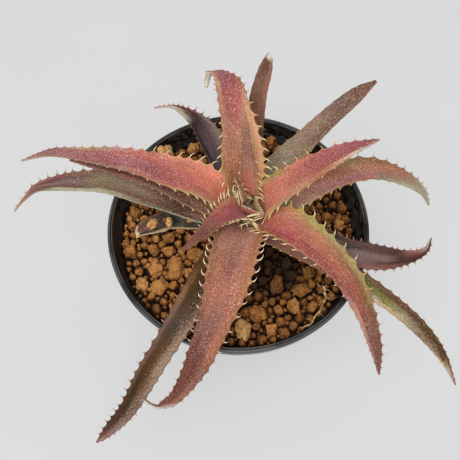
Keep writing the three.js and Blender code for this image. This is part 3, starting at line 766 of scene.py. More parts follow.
# Each leaf by its name, then its colours on five lanes across it, from its left edge to its right edge, seen
# from the stem. A lane has its first colour at the stem and its last one at the tip, and a number before any
# colour says at how many hundredths of the way it is reached. The rest, where it isn't as on most leaves:
#   cup, roll: at the base and the tip, in degrees, as the solids have them, and late_roll, how late it rolls
#   scurf, spines: how dense and how long, at the left base, left tip, right base and right tip
#   gaps: between spines near the base, halfway and at the tip
#   bends: how far spines bend along the margin near the base, further out and at the tip, in radians
#   fading: how soon the spines shorten on the way out
#   spine, rim, underside: colours
#   rib: the midrib from the stem to the tip as [x, y, z, width], close to that of the solid
leaves = [
    a_leaf(
        "young_leaf_back",
        "olive_brown, 20 salmon, 40 peach_rose, 55 taupe_rose, 80 taupe_rose, pale_pink",
        "olive_brown, 15 salmon, 34 coral, 44 peach_rose, 56 grey_pink, 80 taupe_rose, pale_pink",
        "olive_brown, 12 salmon, 34 coral, 44 peach_rose, 56 grey_pink, 80 taupe_rose, pale_pink",
        "olive_brown, 12 coral, 34 coral, 44 peach_rose, 56 grey_pink, 80 taupe_rose, pale_pink",
        "olive_tan, 10 peach_rose, 30 peach, 40 peach_rose, 55 taupe_rose, 80 taupe_rose, pale_pink",
        cup=(95, 35), scurf=(0.5, 0.5, 0.5, 0.5), spines=(2.2, 0.2, 3.4, 0.2), gaps=(2.8, 3.4, 3.0),
        rib=[(3.3, 0.8, 80, 6), (2.9, 2.2, 87, 5.8), (2.55, 4.5, 94.5, 4.9), (1.95, 8.5, 101, 3.1),
             (1.55, 13, 107, 1.7), (0.9, 18, 111, 0.4)],
    ),
    a_leaf(
        "young_leaf_front_left",
        "olive_brown, 20 grey_pink, 36 pink_mauve, 50 rose, 62 rose_brown, 76 red_brown, rose_brown",
        "brown, 16 rose_brown, 30 pink_mauve, 50 pink_mauve, 62 rose_brown, 76 red_brown, rose_brown",
        "brown, 18 rose_brown, 30 pink_mauve, 50 rose, 64 rose_brown, 76 red_brown, rose_brown",
        "olive_brown, 20 rose_brown, 30 rose, 50 rose, 64 rose_brown, 76 red_brown, rose_brown",
        "olive_brown, 22 olive_tan, 34 peach_rose, 50 tan_rose, 62 rose_brown",
        cup=(60, 30), scurf=(0.3, 0.1, 0.3, 0.1), spines=(3.6, 0.1, 6.6, 0.4), gaps=(1.2, 1.4, 3.2),
        bends=(-0.7, -0.8, 0.2),
        rib=[(4, -3.5, 79, 7), (0.5, -4.5, 86, 8.5), (-4.8, -8.4, 89.5, 5.8), (-10, -13.9, 91, 4.2),
             (-14.4, -17.4, 90, 2.3), (-17.3, -19.3, 88, 0.5)],
    ),
    a_leaf(
        "red_leaf_back",
        "olive_tan, 25 pale_tan, 40 peach, 55 peach_rose, 65 peach_rose, 78 pale_pink",
        "olive_tan, 22 tan, 33 peach_rose, 47 peach_rose, 60 rose, 78 pink_mauve, dusty_pink",
        "peach_rose, 30 peach, 46 peach_rose, 57 rose, 68 rose, 80 pink_mauve, dusty_pink",
        "peach_rose, 20 apricot, 45 apricot, 52 peach, 60 salmon, 70 rose, 80 pink_mauve, dusty_pink",
        "52 apricot, 66 peach_rose, 80 rose, 90 pink_mauve",
        cup=(60, 30), roll=(0, 160), scurf=(0.35, 0.5, 0.3, 0.5), spines=(2.4, 0.5, 3.2, 0.4),
        gaps=(2.7, 3.6, 1.8), fading=1, late_roll=6, underside="frost",
        rib=[(3.2, 1, 77, 9), (1.1, 6.5, 92, 12.4), (0.1, 14, 101, 10.6), (-1.9, 23.7, 105, 8.6),
             (-3.4, 30, 104.8, 7.4), (-6, 34.8, 103, 5), (-9.4, 36.6, 101.5, 4.4), (-10.6, 33.2, 98.5, 1)],
    ),
    a_leaf(
        "red_leaf_right_back",
        "tan, 10 yellow_olive, 36 yellow_olive, 46 coral, 60 salmon, 80 pink_mauve, dull_mauve",
        "tan, 14 coral_orange, 22 coral, 40 coral, 55 rose, 90 pink_mauve, dull_mauve",
        "tan, 14 tan_rose, 22 coral, 34 coral, 44 salmon, 55 rose, 90 pink_mauve, dull_mauve",
        "tan, 14 tan_rose, 24 coral, 34 coral, 46 peach_rose, 56 salmon, 64 rose, 80 rose, dull_mauve",
        "tan, 16 apricot, 30 peach, 50 peach, 56 tan_rose, 64 pale_tan, 74 pale_pink, 86 frost, dusty_pink",
        cup=(50, 30), scurf=(0.5, 0.35, 0.6, 0.4), spines=(4.2, 1.0, 2.6, 0.6), gaps=(2.9, 4.0, 2.6),
        underside="silver_green",
        rib=[(4.6, -1, 75, 9), (10, 0.5, 86, 11), (16.5, 2.5, 92.5, 9.5), (24.5, 5, 98, 7.5),
             (33, 7.5, 102, 4.8), (42, 10.5, 103, 0.6)],
    ),
    a_leaf(
        "red_leaf_left",
        "22 peach_rose, 32 salmon, 50 grey_pink, 70 pink_mauve, 85 dull_mauve, frost",
        "15 tan_rose, 30 rose, 40 pink_mauve, 76 pink_mauve, dull_mauve",
        "16 coral_orange, 22 salmon, 32 rose, 42 pink_mauve, 72 pink_mauve, dull_mauve",
        "16 coral, 24 coral_orange, 40 salmon, 55 rose, 66 pink_mauve, 80 pink_mauve, dull_mauve",
        "30 coral, 45 salmon, 56 dusty_pink, 66 yellow_olive, 74 peach_rose, 82 pink_mauve, dull_mauve",
        cup=(50, 30), scurf=(0.35, 1.1, 0.3, 1.0), spines=(2.4, 0.2, 3.6, 0.6), gaps=(2.7, 4.5, 2.2),
        underside="frost",
        rib=[(2, -0.5, 75, 9), (-10, 4.5, 86, 11.5), (-22, 7, 90, 10.5), (-35, 11, 89.5, 8.2),
             (-49, 15.5, 86, 5.6), (-63, 20.5, 79.5, 3.2), (-76.5, 23, 70, 0.6)],
    ),
    a_leaf(
        "red_leaf_right_front",
        "tan, 16 pale_tan, 26 yellow_olive, 60 yellow_olive, 72 olive_tan, 82 rose_brown, dull_mauve",
        "tan_rose, 22 peach_rose, 34 pale_tan, 50 olive_tan, 70 olive_tan, 85 rose_brown, dull_mauve",
        "tan_rose, 20 salmon, 38 tan_rose, 60 warm_rose, 75 rose_brown",
        "tan_rose, 12 rose, 22 deep_rose, 36 deep_rose, 50 warm_rose, 80 rose_brown",
        "tan_rose, 20 deep_rose, 30 rose, 50 rose, 60 dusty_pink, 70 pale_pink, 84 dusty_pink, grey_pink",
        cup=(50, 30), scurf=(0.35, 0.2, 0.35, 0.4), spines=(3.0, 1.2, 2.6, 0.8), gaps=(3.3, 4.4, 2.8),
        rib=[(4.6, -2.4, 76, 9), (14, -9.5, 86, 11.5), (22, -17, 90, 10.5), (30.5, -25.5, 88, 8.5),
             (37.5, -35, 80, 6.5), (42.5, -43.5, 69.5, 4), (45, -50.5, 60, 0.6)],
    ),
    a_leaf(
        "red_leaf_front",
        "olive_tan, 20 tan, 36 pale_tan, 50 tan, 60 tan, 70 rose_brown, 85 taupe_rose, 92 frost",
        "16 grey_pink, 26 tan_rose, 60 tan_rose, 70 rose_brown, 88 taupe_rose, 94 frost",
        "grey_pink, 16 taupe_rose, 26 rose_brown, 40 warm_rose, 52 rose_brown, 64 red_brown, 80 red_brown, "
        "rose_brown",
        "18 grey_pink, 28 tan, 42 tan_rose, 50 rose_brown, 60 red_brown, 80 red_brown, rose_brown",
        "25 olive_tan, 40 tan, 50 rose_brown, 60 red_brown, 80 red_brown, taupe_rose",
        cup=(45, 35), scurf=(0.7, 0.2, 0.6, 0.2), spines=(3.9, 0.9, 3.9, 0.9), gaps=(2.2, 3.9, 2.8),
        bends=(-2.5, -1.5, 0.2), rim="pale_tan", spine="ivory", underside="frost",
        rib=[(3.2, -2.6, 76, 10), (0, -13, 83.5, 14), (-3, -26, 87, 13), (-7, -39, 84.5, 10),
             (-12.5, -51, 76, 7), (-19, -58.5, 67.5, 4.2), (-23, -60.3, 63.5, 2.6), (-26, -60.8, 61.5, 0.9),
             (-30.6, -58.2, 60, 0.4)],
    ),
    a_leaf(
        "tan_leaf_right",
        "olive_tan, 40 yellow_olive, 50 olive_tan, 75 tan, 85 silver_green",
        "taupe, 40 tan, 46 pale_tan, 56 tan, 70 tan_rose, 78 tan_rose, 86 pale_olive, silver_green",
        "grey_taupe, 22 grey_pink, 35 warm_rose, 50 tan, 60 tan_rose, 75 taupe_rose, 86 pale_olive, frost",
        "grey_taupe, 30 grey_pink, 38 pink_mauve, 54 pink_mauve, 64 grey_taupe, 80 pale_olive, silver_green",
        "grey_taupe, 30 grey_pink, 45 rose, 54 rose, 62 grey_olive, 72 silver_green",
        cup=(50, 50), roll=(0, 15), scurf=(0.8, 0.5, 1.3, 0.7), spines=(2.4, 1.2, 2.0, 0.8),
        spine="gold_cream", underside="silver_green",
        rib=[(4.6, -1, 72, 8), (19, 4, 81, 10), (31, 8, 85, 8.5), (42.5, 10, 86, 7), (54, 10, 81, 5.5),
             (62.5, 9.5, 73, 3), (67, 8, 65, 0.6)],
    ),
    a_leaf(
        "brown_leaf_left",
        "olive_tan, 30 taupe, 50 taupe_rose, 70 taupe_rose, dusty_pink",
        "olive_tan, 24 taupe_rose, 36 rose_brown, 46 red_brown, 70 red_brown, rose_brown",
        "olive_tan, 25 brown, 50 red_brown, rose_brown",
        "brown, 50 red_brown, rose_brown",
        "brown, 50 red_brown, rose_brown",
        cup=(50, 30), scurf=(0.5, 0.25, 0.4, 0.2), spines=(1.9, 0.5, 1.8, 0.5), rim="pale_tan",
        rib=[(2.2, -1, 72, 8), (-11, 3, 79.5, 10.5), (-24, 7.5, 82.5, 9), (-35.5, 11.5, 82.5, 6.5),
             (-47, 15.5, 80, 4), (-57.5, 19, 77, 0.8)],
    ),
    a_leaf(
        "olive_leaf_right_front",
        "grey_pink, 40 olive_brown, 50 olive_brown, 60 brown, 72 olive_brown, 85 olive_brown, grey_pink",
        "grey_pink, 40 grey_green, 48 bright_olive, 58 olive_brown, 70 moss_brown, 85 moss_brown, grey_pink",
        "grey_pink, 42 bright_olive, 50 leaf_green, 57 leaf_green, 64 grey_olive, 72 olive_brown, "
        "85 moss_brown, 92 straw, grey_pink",
        "40 grey_pink, 50 pale_olive, 56 leaf_green, 64 pale_olive, 72 grey_olive, 84 olive_brown, "
        "92 straw, grey_pink",
        "taupe_rose, 42 grey_pink, 50 frost, 58 straw, 66 pale_olive, 76 grey_olive, 84 straw, 93 frost, "
        "peach",
        cup=(45, 45), roll=(0, 15), scurf=(0.1, 0.25, 0.3, 0.5), spines=(1.9, 0.7, 0.6, 0.6),
        rim="olive_tan", spine="gold_cream", underside="straw",
        rib=[(4.4, -2.4, 71, 8), (17, -12, 78, 9), (28.5, -20.5, 80.5, 7.6), (40.5, -28.6, 79.5, 5.8),
             (52, -36.2, 75, 5), (59.8, -41.9, 70, 4), (64.6, -46.2, 65, 2.9), (68, -49.6, 59.5, 1.4),
             (71, -52.6, 54, 0.3)],
    ),
    a_leaf(
        "olive_leaf_front_left",
        "olive_brown, 36 dull_brown, 46 grey_taupe, 68 grey_taupe, 78 dull_grape, dull_mauve",
        "36 dark_olive, 46 dull_brown, 57 grey_taupe, 68 taupe, 78 moss_brown, 88 dull_brown, dull_mauve",
        "47 dark_olive, 57 moss_brown, 68 moss_brown, 78 dark_olive, 90 maroon, rose_brown",
        "olive_brown, 30 moss_brown, 45 dark_olive, 54 moss_brown, 66 dark_olive, 75 dark_olive, "
        "90 maroon, rose_brown",
        "olive_brown, 25 moss_brown, 35 olive_tan, 45 dull_brown, 62 dull_brown, 76 moss_brown, 90 maroon, "
        "rose_brown",
        cup=(45, 35), scurf=(0.2, 1.0, 0.0, 0.1), spines=(0.9, 0.9, 0.8, 1.5), rim="olive_brown",
        spine="pale_pink",
        rib=[(2.6, -2.6, 69, 8), (-8, -18, 74, 9), (-17.5, -35.5, 74.5, 8), (-27, -49.5, 66, 7),
             (-35.5, -60, 54.5, 5.6), (-43, -66, 46, 3.4), (-47.5, -69, 41, 0.6)],
    ),
    a_leaf(
        "brown_leaf_right_back",
        "35 grey_green, 50 grey_taupe, 65 taupe_rose, 76 dull_brown, 90 brown",
        "35 grey_green, 50 grey_taupe, 60 grey_taupe, 76 dull_brown, 90 brown",
        "grey_green, 40 grey_olive, 55 grey_taupe, 66 taupe, 76 dull_brown, 90 brown",
        "grey_green, 40 grey_olive, 48 grey_taupe, 54 dull_brown, 85 dull_brown, brown",
        "grey_green, 45 yellow_olive, 54 grey_taupe, 66 taupe, 80 dull_brown, grey_pink",
        cup=(50, 40), roll=(0, 15), scurf=(0.5, 0.4, 0.5, 0.4), spines=(1.1, 0.3, 1.4, 0.3),
        rim="grey_olive", spine="gold_cream",
        rib=[(4.2, -0.6, 70, 7), (13, 14.5, 78.5, 8.5), (22, 21.5, 84, 7.5), (31, 28.5, 90, 6),
             (39, 34, 94, 4.6), (45, 37.5, 96, 1)],
    ),
    a_leaf(
        "dark_leaf_back_left",
        "blackish, 35 slate_violet, 45 blackish, 66 blackish, 73 silver_green, 90 frost, pale_pink",
        "blackish, 30 slate_violet, 50 slate_violet, 66 blackish, 78 silver_green, pale_pink",
        "blackish, 36 slate_violet, 50 slate_violet, 64 blackish, 76 dull_grape, 85 frost, pale_pink",
        "grey_green, 40 taupe, 50 grey_mauve, 60 slate_violet, 68 blackish, 80 red_brown, pale_pink",
        "grey_green, 40 grey_taupe, 50 grey_olive, 62 grey_mauve, 70 red_brown, 85 red_brown, pale_pink",
        cup=(50, 40), scurf=(0.0, 0.0, 0.1, 0.1), spines=(1.2, 0.4, 1.2, 1.5), gaps=(2.8, 3.0, 1.7),
        rim="taupe", spine="red_brown", underside="50 blackish, 62 silver_green, frost",
        rib=[(2.8, -0.6, 69, 7), (-5, 17, 77.5, 9), (-10.5, 26.5, 81, 8), (-15, 32.5, 82, 5),
             (-21, 38, 80.4, 2.1), (-25, 40.2, 78.4, 0.8), (-29.8, 41.3, 76, 0.3)],
    ),
    a_leaf(
        "olive_leaf_left",
        "25 purple_brown, 36 grey_green, 50 silver_green, 70 silver_green, 80 grey_taupe, 90 grey_pink, "
        "straw",
        "16 taupe_rose, 24 purple_brown, 35 brown, 46 taupe, 56 grey_green, 66 dull_grape, 85 dull_grape, "
        "straw",
        "26 purple_brown, 36 taupe, 46 grey_olive, 58 grey_green, 66 grey_mauve, 80 dull_mauve, "
        "92 dull_mauve, straw",
        "34 purple_brown, 45 grey_olive, 56 grey_green, 64 dull_grape, 80 dull_grape, 92 dusty_pink, straw",
        "purple_brown, 35 brown, 55 taupe, 66 taupe, 74 pink_mauve, 86 dusty_pink, 92 frost, straw",
        cup=(45, 50), roll=(0, -15), scurf=(0.7, 0.15, 0.8, 0.15), spines=(0.4, 0.3, 1.9, 1.5),
        gaps=(2.7, 4.0, 3.0), rim="silver_green", spine="pale_pink", underside="silver_green",
        rib=[(2.2, -1.6, 69, 8), (-14, 2, 75, 10.5), (-28, 6, 77, 10), (-42, 9.5, 77.5, 8.5),
             (-56, 11, 76, 6.4), (-69, 12.5, 70, 3.4), (-76, 10.5, 64, 1.2), (-80, 8, 60, 0.4)],
    ),
    a_leaf(
        "purple_leaf_right",
        "grey_green, 45 blackish, 60 maroon, 80 maroon, 88 dull_mauve, frost",
        "45 grey_green, 52 blackish, 66 purple_brown, 78 maroon, 90 rose_brown, frost",
        # On this leaf the paler grey_mauve down the third and fourth lanes is a painted sheen
        "grey_green, 42 olive_brown, 50 dull_brown, 58 grey_mauve, 72 grey_mauve, 80 maroon, 90 red_brown, "
        "frost",
        "grey_green, 42 olive_brown, 50 dull_brown, 60 grey_mauve, 70 dull_grape, 78 maroon",
        "grey_green, 50 dull_grape, 62 dull_mauve, 74 rose_brown, 84 maroon",
        cup=(45, 45), scurf=(0.4, 0.0, 0.4, 0.0), spines=(1.2, 1.0, 2.2, 1.8), gaps=(2.7, 3.0, 1.5),
        rim="dull_mauve", spine="pale_pink",
        rib=[(4.8, -1.8, 68, 7), (20, -8, 74, 9), (32.5, -14, 76, 9), (44, -17, 77, 8), (53.5, -17, 77, 4.4),
             (59, -15.5, 79, 1.8), (60.5, -12.5, 82, 0.3)],
    ),
    a_leaf(
        "brown_leaf_back",
        "brown, 60 taupe_rose, 70 taupe, 90 taupe, 97 brown, grey_pink",
        "brown, 60 olive_tan, 70 taupe, 85 taupe, 93 brown, 98 brown, frost",
        "brown, 60 olive_tan, 72 taupe, 85 taupe, 93 brown, 98 brown, frost",
        "55 brown, 65 taupe_rose, 86 taupe_rose, 92 dull_brown, 98 brown, frost",
        "55 brown, 65 taupe_rose, 75 grey_pink, 85 grey_pink, 97 taupe_rose, frost",
        cup=(50, 30), scurf=(0.2, 0.15, 0.2, 0.15), spines=(0.6, 0.3, 0.6, 0.4), rim="grey_pink",
        spine="pale_pink",
        rib=[(3.4, -0.4, 67, 6.5), (4.5, 14, 76, 6.5), (5.5, 25.5, 84.5, 5.5), (6.5, 32.5, 95, 5.2),
             (8.2, 37, 101, 4.6), (9.2, 39.6, 104, 2.8), (9.4, 41.3, 105.5, 0.5)],
    ),
]


def lane(tree, value, stops):
    """A colour that runs through the named paints as the value goes from 0 to 1."""
    stops = [stop.split() for stop in stops.split(", ")]
    if len(stops) == 1:
        return palette[stops[0][0]]
    made = node(tree, "ShaderNodeValToRGB", {"Fac": value})
    steps = made.color_ramp.elements
    for _ in stops[2:]:
        steps.new(0.5)
    for step, words, bare in zip(steps, stops, [0] + [100] * len(stops)):
        step.position = int(words[0] if words[1:] else bare) / 100
        step.color = palette[words[-1]]
    return made.outputs["Color"]


# Skin: blotches, faint long streaks and a close dust of white scurf, used on every leaf
skin, given, out = group(
    "scurfed_skin",
    {"Colour": "colour", "Rim": "colour", "Underside": "colour", "Across": "value", "Across mm": "value",
     "Along mm": "value", "Under": "value", "Scurf": "value", "Rim share": "value", "Seed": "value"},
    {"Colour": "colour", "Roughness": "value", "Height": "value"},
)
sheet_place = maths(skin, "MULTIPLY_ADD", given["Under"], 30.0, given["Seed"])
axes = {"X": given["Across mm"], "Y": given["Along mm"], "Z": sheet_place}
flat = node(skin, "ShaderNodeCombineXYZ", axes).outputs[0]


def skin_noise(waves_across, waves_along, detail=3.0, roughness=0.5):
    """A noise over the skin, with so many waves in a millimetre across and along it."""
    inputs = {0: flat, 1: (waves_across, waves_along, 1)}
    place = node(skin, "ShaderNodeVectorMath", inputs, operation="MULTIPLY").outputs[0]
    return noise(skin, place, 1.0, detail, roughness)


# Colour: ruddy blotches, paler long lines and a fine mottle on top, silver lines beneath, and the rim
ruddy = paint(104, 56, 46)
line_gain = (1.4, 1.32, 1.25, 1)
mottle_tint = paint(156, 112, 98)
silver = paint(206, 208, 188)
scurf_white = paint(238, 212, 190)
blotch = skin_noise(0.22, 0.1)
streak = skin_noise(1.9, 0.09)
mottle = skin_noise(1.6, 1.1, 4.0, 0.6)
blotched = tinted(skin, band(skin, blotch, 0.35, 0.65, 0.2, 0.0), given["Colour"], ruddy)
lined = tinted(skin, band(skin, streak, 0.4, 0.66, 0.0, 0.55), blotched, line_gain, "MULTIPLY")
mottled = tinted(skin, band(skin, mottle, 0.34, 0.64, 0.36, 0.0), lined, mottle_tint, "MULTIPLY")
silvered = tinted(skin, band(skin, streak, 0.35, 0.65, 0.0, 0.75), given["Underside"], silver)
at_rim = band(skin, maths(skin, "ABSOLUTE", given["Across"]), *RIM_LIMITS)
beneath = maths(skin, "MULTIPLY", given["Under"], maths(skin, "SUBTRACT", 1.0, at_rim))
both_faces = tinted(skin, beneath, mottled, silvered)
edged = tinted(skin, maths(skin, "MULTIPLY", at_rim, given["Rim share"]), both_faces, given["Rim"])

# Scurf: close small scales and fewer large flecks, the more of both the denser the scurf
scale = skin_noise(3.1, 2.5, 1.0)
fleck = skin_noise(1.9, 1.7, 0.0)
wanted = maths(skin, "MULTIPLY", given["Scurf"], band(skin, blotch, 0.3, 0.7, 0.7, 1.15))
limit = maths(skin, "MULTIPLY_ADD", wanted, -0.14, 0.62)
close = band(skin, scale, limit, maths(skin, "ADD", limit, 0.12))
large_limit = maths(skin, "MULTIPLY_ADD", wanted, -0.07, 0.75)
large = band(skin, fleck, large_limit, maths(skin, "ADD", large_limit, 0.07))
flecks = maths(skin, "MAXIMUM", maths(skin, "MULTIPLY", close, 0.38), maths(skin, "MULTIPLY", large, 0.36))
scurf = maths(skin, "MULTIPLY", flecks, band(skin, given["Scurf"], -0.1, 0.5))
plug(skin, out, {
    "Colour": tinted(skin, scurf, edged, scurf_white),
    "Roughness": maths(skin, "MULTIPLY_ADD", scurf, 0.3, 0.5),
    "Height": maths(skin, "ADD", maths(skin, "MULTIPLY", mottle, 0.8), scurf),
})


def leaf_finish(leaf, seed):
    """The skin of one leaf, in its own colours. Slow noise moves the borders between them."""
    material, tree, shader = finish(leaf.name + "_skin")
    share = mark(tree, "share")
    across = mark(tree, "across")
    across_mm = mark(tree, "across_mm")
    along_mm = mark(tree, "along_mm")
    wide = maths(tree, "MULTIPLY", across_mm, 0.25)
    long = maths(tree, "MULTIPLY", along_mm, 0.09)
    place = node(tree, "ShaderNodeCombineXYZ", {"X": wide, "Y": long, "Z": seed}).outputs[0]
    drift = noise(tree, place, 1.0, 4.0)
    off = maths(tree, "SUBTRACT", drift, 0.5)
    moved_share = maths(tree, "MULTIPLY_ADD", off, 0.16, share)
    moved_across = maths(tree, "MULTIPLY_ADD", off, 0.7, across)
    colours = [lane(tree, moved_share, stops) for stops in leaf.lanes]
    whole = colours[0]
    for colour, limits in zip(colours[1:], LANE_BLENDS):
        whole = tinted(tree, band(tree, moved_across, *limits), whole, colour)
    # Painted light: brighter near the stem and darker further out along the leaf
    painted_light_gain = tinted(tree, band(tree, share, 0.1, 0.4), (1.22, 1.18, 1.18, 1), (0.86, 0.83, 0.83, 1))
    left = band(tree, share, 0, 1, *leaf.scurf[:2])
    right = band(tree, share, 0, 1, *leaf.scurf[2:])
    inputs = {"Value": moved_across, "From Min": -0.3, "From Max": 0.3, "To Min": left, "To Max": right}
    look = placed(tree, skin, {
        "Colour": tinted(tree, 1.0, whole, painted_light_gain, "MULTIPLY"), "Rim": palette[leaf.rim],
        "Underside": lane(tree, share, leaf.underside), "Across": across, "Across mm": across_mm,
        "Along mm": along_mm, "Under": mark(tree, "under"), "Seed": seed,
        "Scurf": node(tree, "ShaderNodeMapRange", inputs).outputs["Result"],
        "Rim share": band(tree, share, 0.1, 0.5, 0.65, 0.12),
    })
    step = mark(tree, "spine")
    far = tinted(tree, band(tree, share, 0.3, 0.8, 0.0, 0.7), palette[leaf.spine], palette["pale_pink"])
    horn = tinted(tree, band(tree, step, 0.6, 1.0, 0.0, 0.5), far, palette["peach"])
    plug(tree, shader, {
        "Base Color": tinted(tree, band(tree, step, 0.04, 0.4), look["Colour"], horn),
        "Roughness": look["Roughness"],
        "Specular IOR Level": 0.18,
    })
    bumped(tree, shader, look["Height"], 0.12, 0.8)
    return material


def rib_of(leaf, chance):
    """Stations along a leaf: its midrib, its directions, and how far it bends across."""
    dense = spline(leaf.rib, np.linspace(0, 1, RIB_STEPS))
    walked = np.concatenate([[0], np.cumsum(np.linalg.norm(np.diff(dense[:, :3], axis=0), axis=1))])
    along = np.linspace(0, walked[-1], int(walked[-1] / STATION_GAP) + 1)
    share = np.interp(along, walked, np.linspace(0, 1, RIB_STEPS))
    stations = spline(leaf.rib, share)
    rib = SimpleNamespace(along=along, length=walked[-1], centre=stations[:, :3], width=stations[:, 3])
    rib.share = along / rib.length
    rib.heading = unit(np.gradient(rib.centre, along, axis=0))
    level = unit(np.cross(rib.heading, [0, 0, 1]))
    roll = np.radians(leaf.roll[0] + (leaf.roll[1] - leaf.roll[0]) * share ** leaf.late_roll)[:, None]
    rib.across = level * np.cos(roll) + np.cross(rib.heading, level) * np.sin(roll)
    rib.face = unit(np.cross(rib.across, rib.heading))
    waver = WAVER * np.sin(math.pi * rib.share) * np.sin(along / 6.5 + chance.uniform(0, 6))
    rib.centre = rib.centre + rib.across * waver[:, None]
    rib.width = rib.width * (1 + SWELL * np.sin(along / 4.1 + chance.uniform(0, 6)))
    rib.cup = np.radians(leaf.cup[0] + (leaf.cup[1] - leaf.cup[0]) * share)
    rib.bend = rib.width / 2 / np.sin(np.minimum(rib.cup, math.pi / 2))
    rib.slender = TIP_THINNING + (1 - TIP_THINNING) * np.minimum(1, rib.width / FULL_WIDTH)
    return rib


def sheet_line(rib, share, outward, raised):
    """Places along a leaf at a share across it, pushed out past the margin and raised off the middle."""
    angle = share * rib.cup
    aside = (rib.bend - raised) * np.sin(angle) + np.sign(share) * outward * np.cos(angle * EDGE_EASE)
    sunk = SAG * rib.bend * (1 - np.cos(rib.cup))
    rise = rib.bend - (rib.bend - raised) * np.cos(angle) + outward * np.sin(np.abs(angle) * EDGE_EASE) - sunk
    return rib.centre + rib.across * aside[:, None] + rib.face * rise[:, None]


def sheet(rib, line_at):
    """Points and faces of a thick sheet along a rib, and each point's place across it and side of it.

    line_at gives the places along the rib at a share across it, on the upper face (1) or the lower one (-1).
    """
    spots = np.sin(np.linspace(-math.pi / 2, math.pi / 2, ACROSS_POINTS))
    ring = [(s, 0) for s in spots] + [(s, 1) for s in spots[::-1]]
    points = np.stack([line_at(s, 1 - 2 * under) for s, under in ring], axis=1).reshape(-1, 3)
    across, under = np.tile(ring, (len(rib.along), 1)).T
    return points, ring_faces(len(rib.along), len(ring)), across, under


def spine_places(length, gaps, start, chance):
    """Distances along a margin at which its spines stand."""
    places = [gaps[0] * start]
    while places[-1] < length * SPINE_STOP:
        share = places[-1] / length
        gap = np.interp(share, (0, 0.15, 0.5, 1), (gaps[0], gaps[0] * 1.2, gaps[1], gaps[2]))
        places.append(places[-1] + gap * chance.uniform(0.82, 1.18))
    return np.array(places[:-1])


def spine(root, outward, forward, face, size, bend, half):
    """Points, faces and steps of a hooked spine that bends along its margin in an arc, by so many radians."""
    steps = np.linspace(0, 1, SPINE_STEPS)
    turns = steps * bend
    path = root + (np.outer(np.sin(turns), outward) + np.outer(1 - np.cos(turns), forward)) * size / bend
    path += np.outer(steps ** 2, face) * size * 0.12
    sideways = np.outer(np.cos(turns), forward) - np.outer(np.sin(turns), outward)
    wide = (0.05 * size + 0.15) * (1 - steps) ** 0.9 + 0.015
    deep = half * (1 - steps) ** 0.9 + 0.015
    rings = [path[k] + circle(SPINE_SIDES, sideways[k] * wide[k], face * deep[k]) for k in range(SPINE_STEPS)]
    faces = ring_faces(SPINE_STEPS, SPINE_SIDES)
    if np.dot(np.cross(forward, face), outward) < 0:
        faces = [corners[::-1] for corners in faces]
    return np.vstack(rings), faces, np.repeat(steps, SPINE_SIDES)


def blade(leaf, seed):
    """Points, faces and marks of one leaf: its blade, then a hooked spine at each scallop."""
    chance = np.random.default_rng(seed)
    rib = rib_of(leaf, chance)
    rib_half = RIB_THICKNESS / 2 * rib.slender
    margin_half = MARGIN_THICKNESS / 2 * rib.slender
    lifts = {}
    stands = {}
    scallop = {}
    for side, start, (first, last) in ((-1, 0.6, leaf.spines[:2]), (1, 1.1, leaf.spines[2:])):
        lifts[side] = last + (first - last) * (1 - rib.share) ** leaf.fading
        stands[side] = spine_places(rib.length, leaf.gaps, start, chance)
        nearest = np.abs(rib.along[:, None] - stands[side]).min(axis=1)
        between = np.interp(rib.along, stands[side][1:], np.diff(stands[side]))
        nearness = 1 - np.minimum(1, nearest / (between / 2))
        scallop[side] = FLARE * lifts[side] * nearness ** 2.2 * rib.slender

    def line_at(s, facing):
        half = margin_half + (rib_half - margin_half) * (1 - abs(s) ** 2.3)
        outward = scallop[1 if s > 0 else -1] * max(0.0, (abs(s) - FLARE_START) / (1 - FLARE_START)) ** 2
        return sheet_line(rib, s, outward, half * facing)

    points, faces, across, under = sheet(rib, line_at)
    parts = [(points, faces)]
    marks = [(np.repeat(rib.along, 2 * ACROSS_POINTS), across, under, np.zeros(len(points)))]
    for side, places in stands.items():
        edge = sheet_line(rib, side, scallop[side] * 0.5, np.zeros(len(rib.along)))
        for place in places:
            k = int(round(place / rib.length * (len(rib.along) - 1)))
            tilt = rib.cup[k] * EDGE_EASE
            outward = rib.across[k] * side * math.cos(tilt) + rib.face[k] * math.sin(tilt)
            face = rib.face[k] * math.cos(tilt) - rib.across[k] * side * math.sin(tilt)
            size = SPINE_LENGTHENING * lifts[side][k] * chance.uniform(0.85, 1.15)
            size *= min(1, 0.3 + rib.width[k] / 5)
            bend = np.interp(rib.share[k], (0.1, 0.4, 1), leaf.bends) + chance.uniform(-0.15, 0.15)
            made = spine(edge[k], outward, rib.heading[k], face, size, bend, margin_half[k] * 1.1 + 0.04)
            parts.append(made[:2])
            filled = np.ones(len(made[0]))
            marks.append((filled * place, filled * side, filled * 0, made[2]))
    points, faces = joined(parts)
    along, across, under, spine_step = (np.concatenate(values) for values in zip(*marks))
    all_marks = {"share": along / rib.length, "along_mm": along, "across": across, "under": under,
                 "across_mm": across * np.interp(along, rib.along, rib.width) / 2, "spine": spine_step}
    return points, faces, all_marks


def grow(leaf, seed, skin_seed):
    """Makes the piece of one leaf."""
    points, faces, marks = blade(leaf, seed)
    slot = "_".join(leaf.name.split("_")[:2])
    made = piece(leaf.name + "_blade", points, faces, leaf_finish(leaf, skin_seed), [leaf.name])
    marked(made, **marks)


for index, leaf in enumerate(leaves):
    grow(leaf, BLADE_SEED + index, index * SKIN_SEED_STEP)


# Heart
# The youngest tissue, in the hollow between the two young leaves: two leaf points a few millimetres long, the
# walls and the thin lip of the sheaths that close the hollow, and their pale margins folded round it.
SHEATH_DEPTH = 4.2
SHEATH_HALF = 0.22
SHEATH_SIDES = 12
MARGIN_SIDES = 8
HOOK_BEND = 0.35
FOLD_STEPS = 26
HEART_SEED = 80
HEART_SKIN_SEED = 130
HEART_SKIN_STEP = 5.1

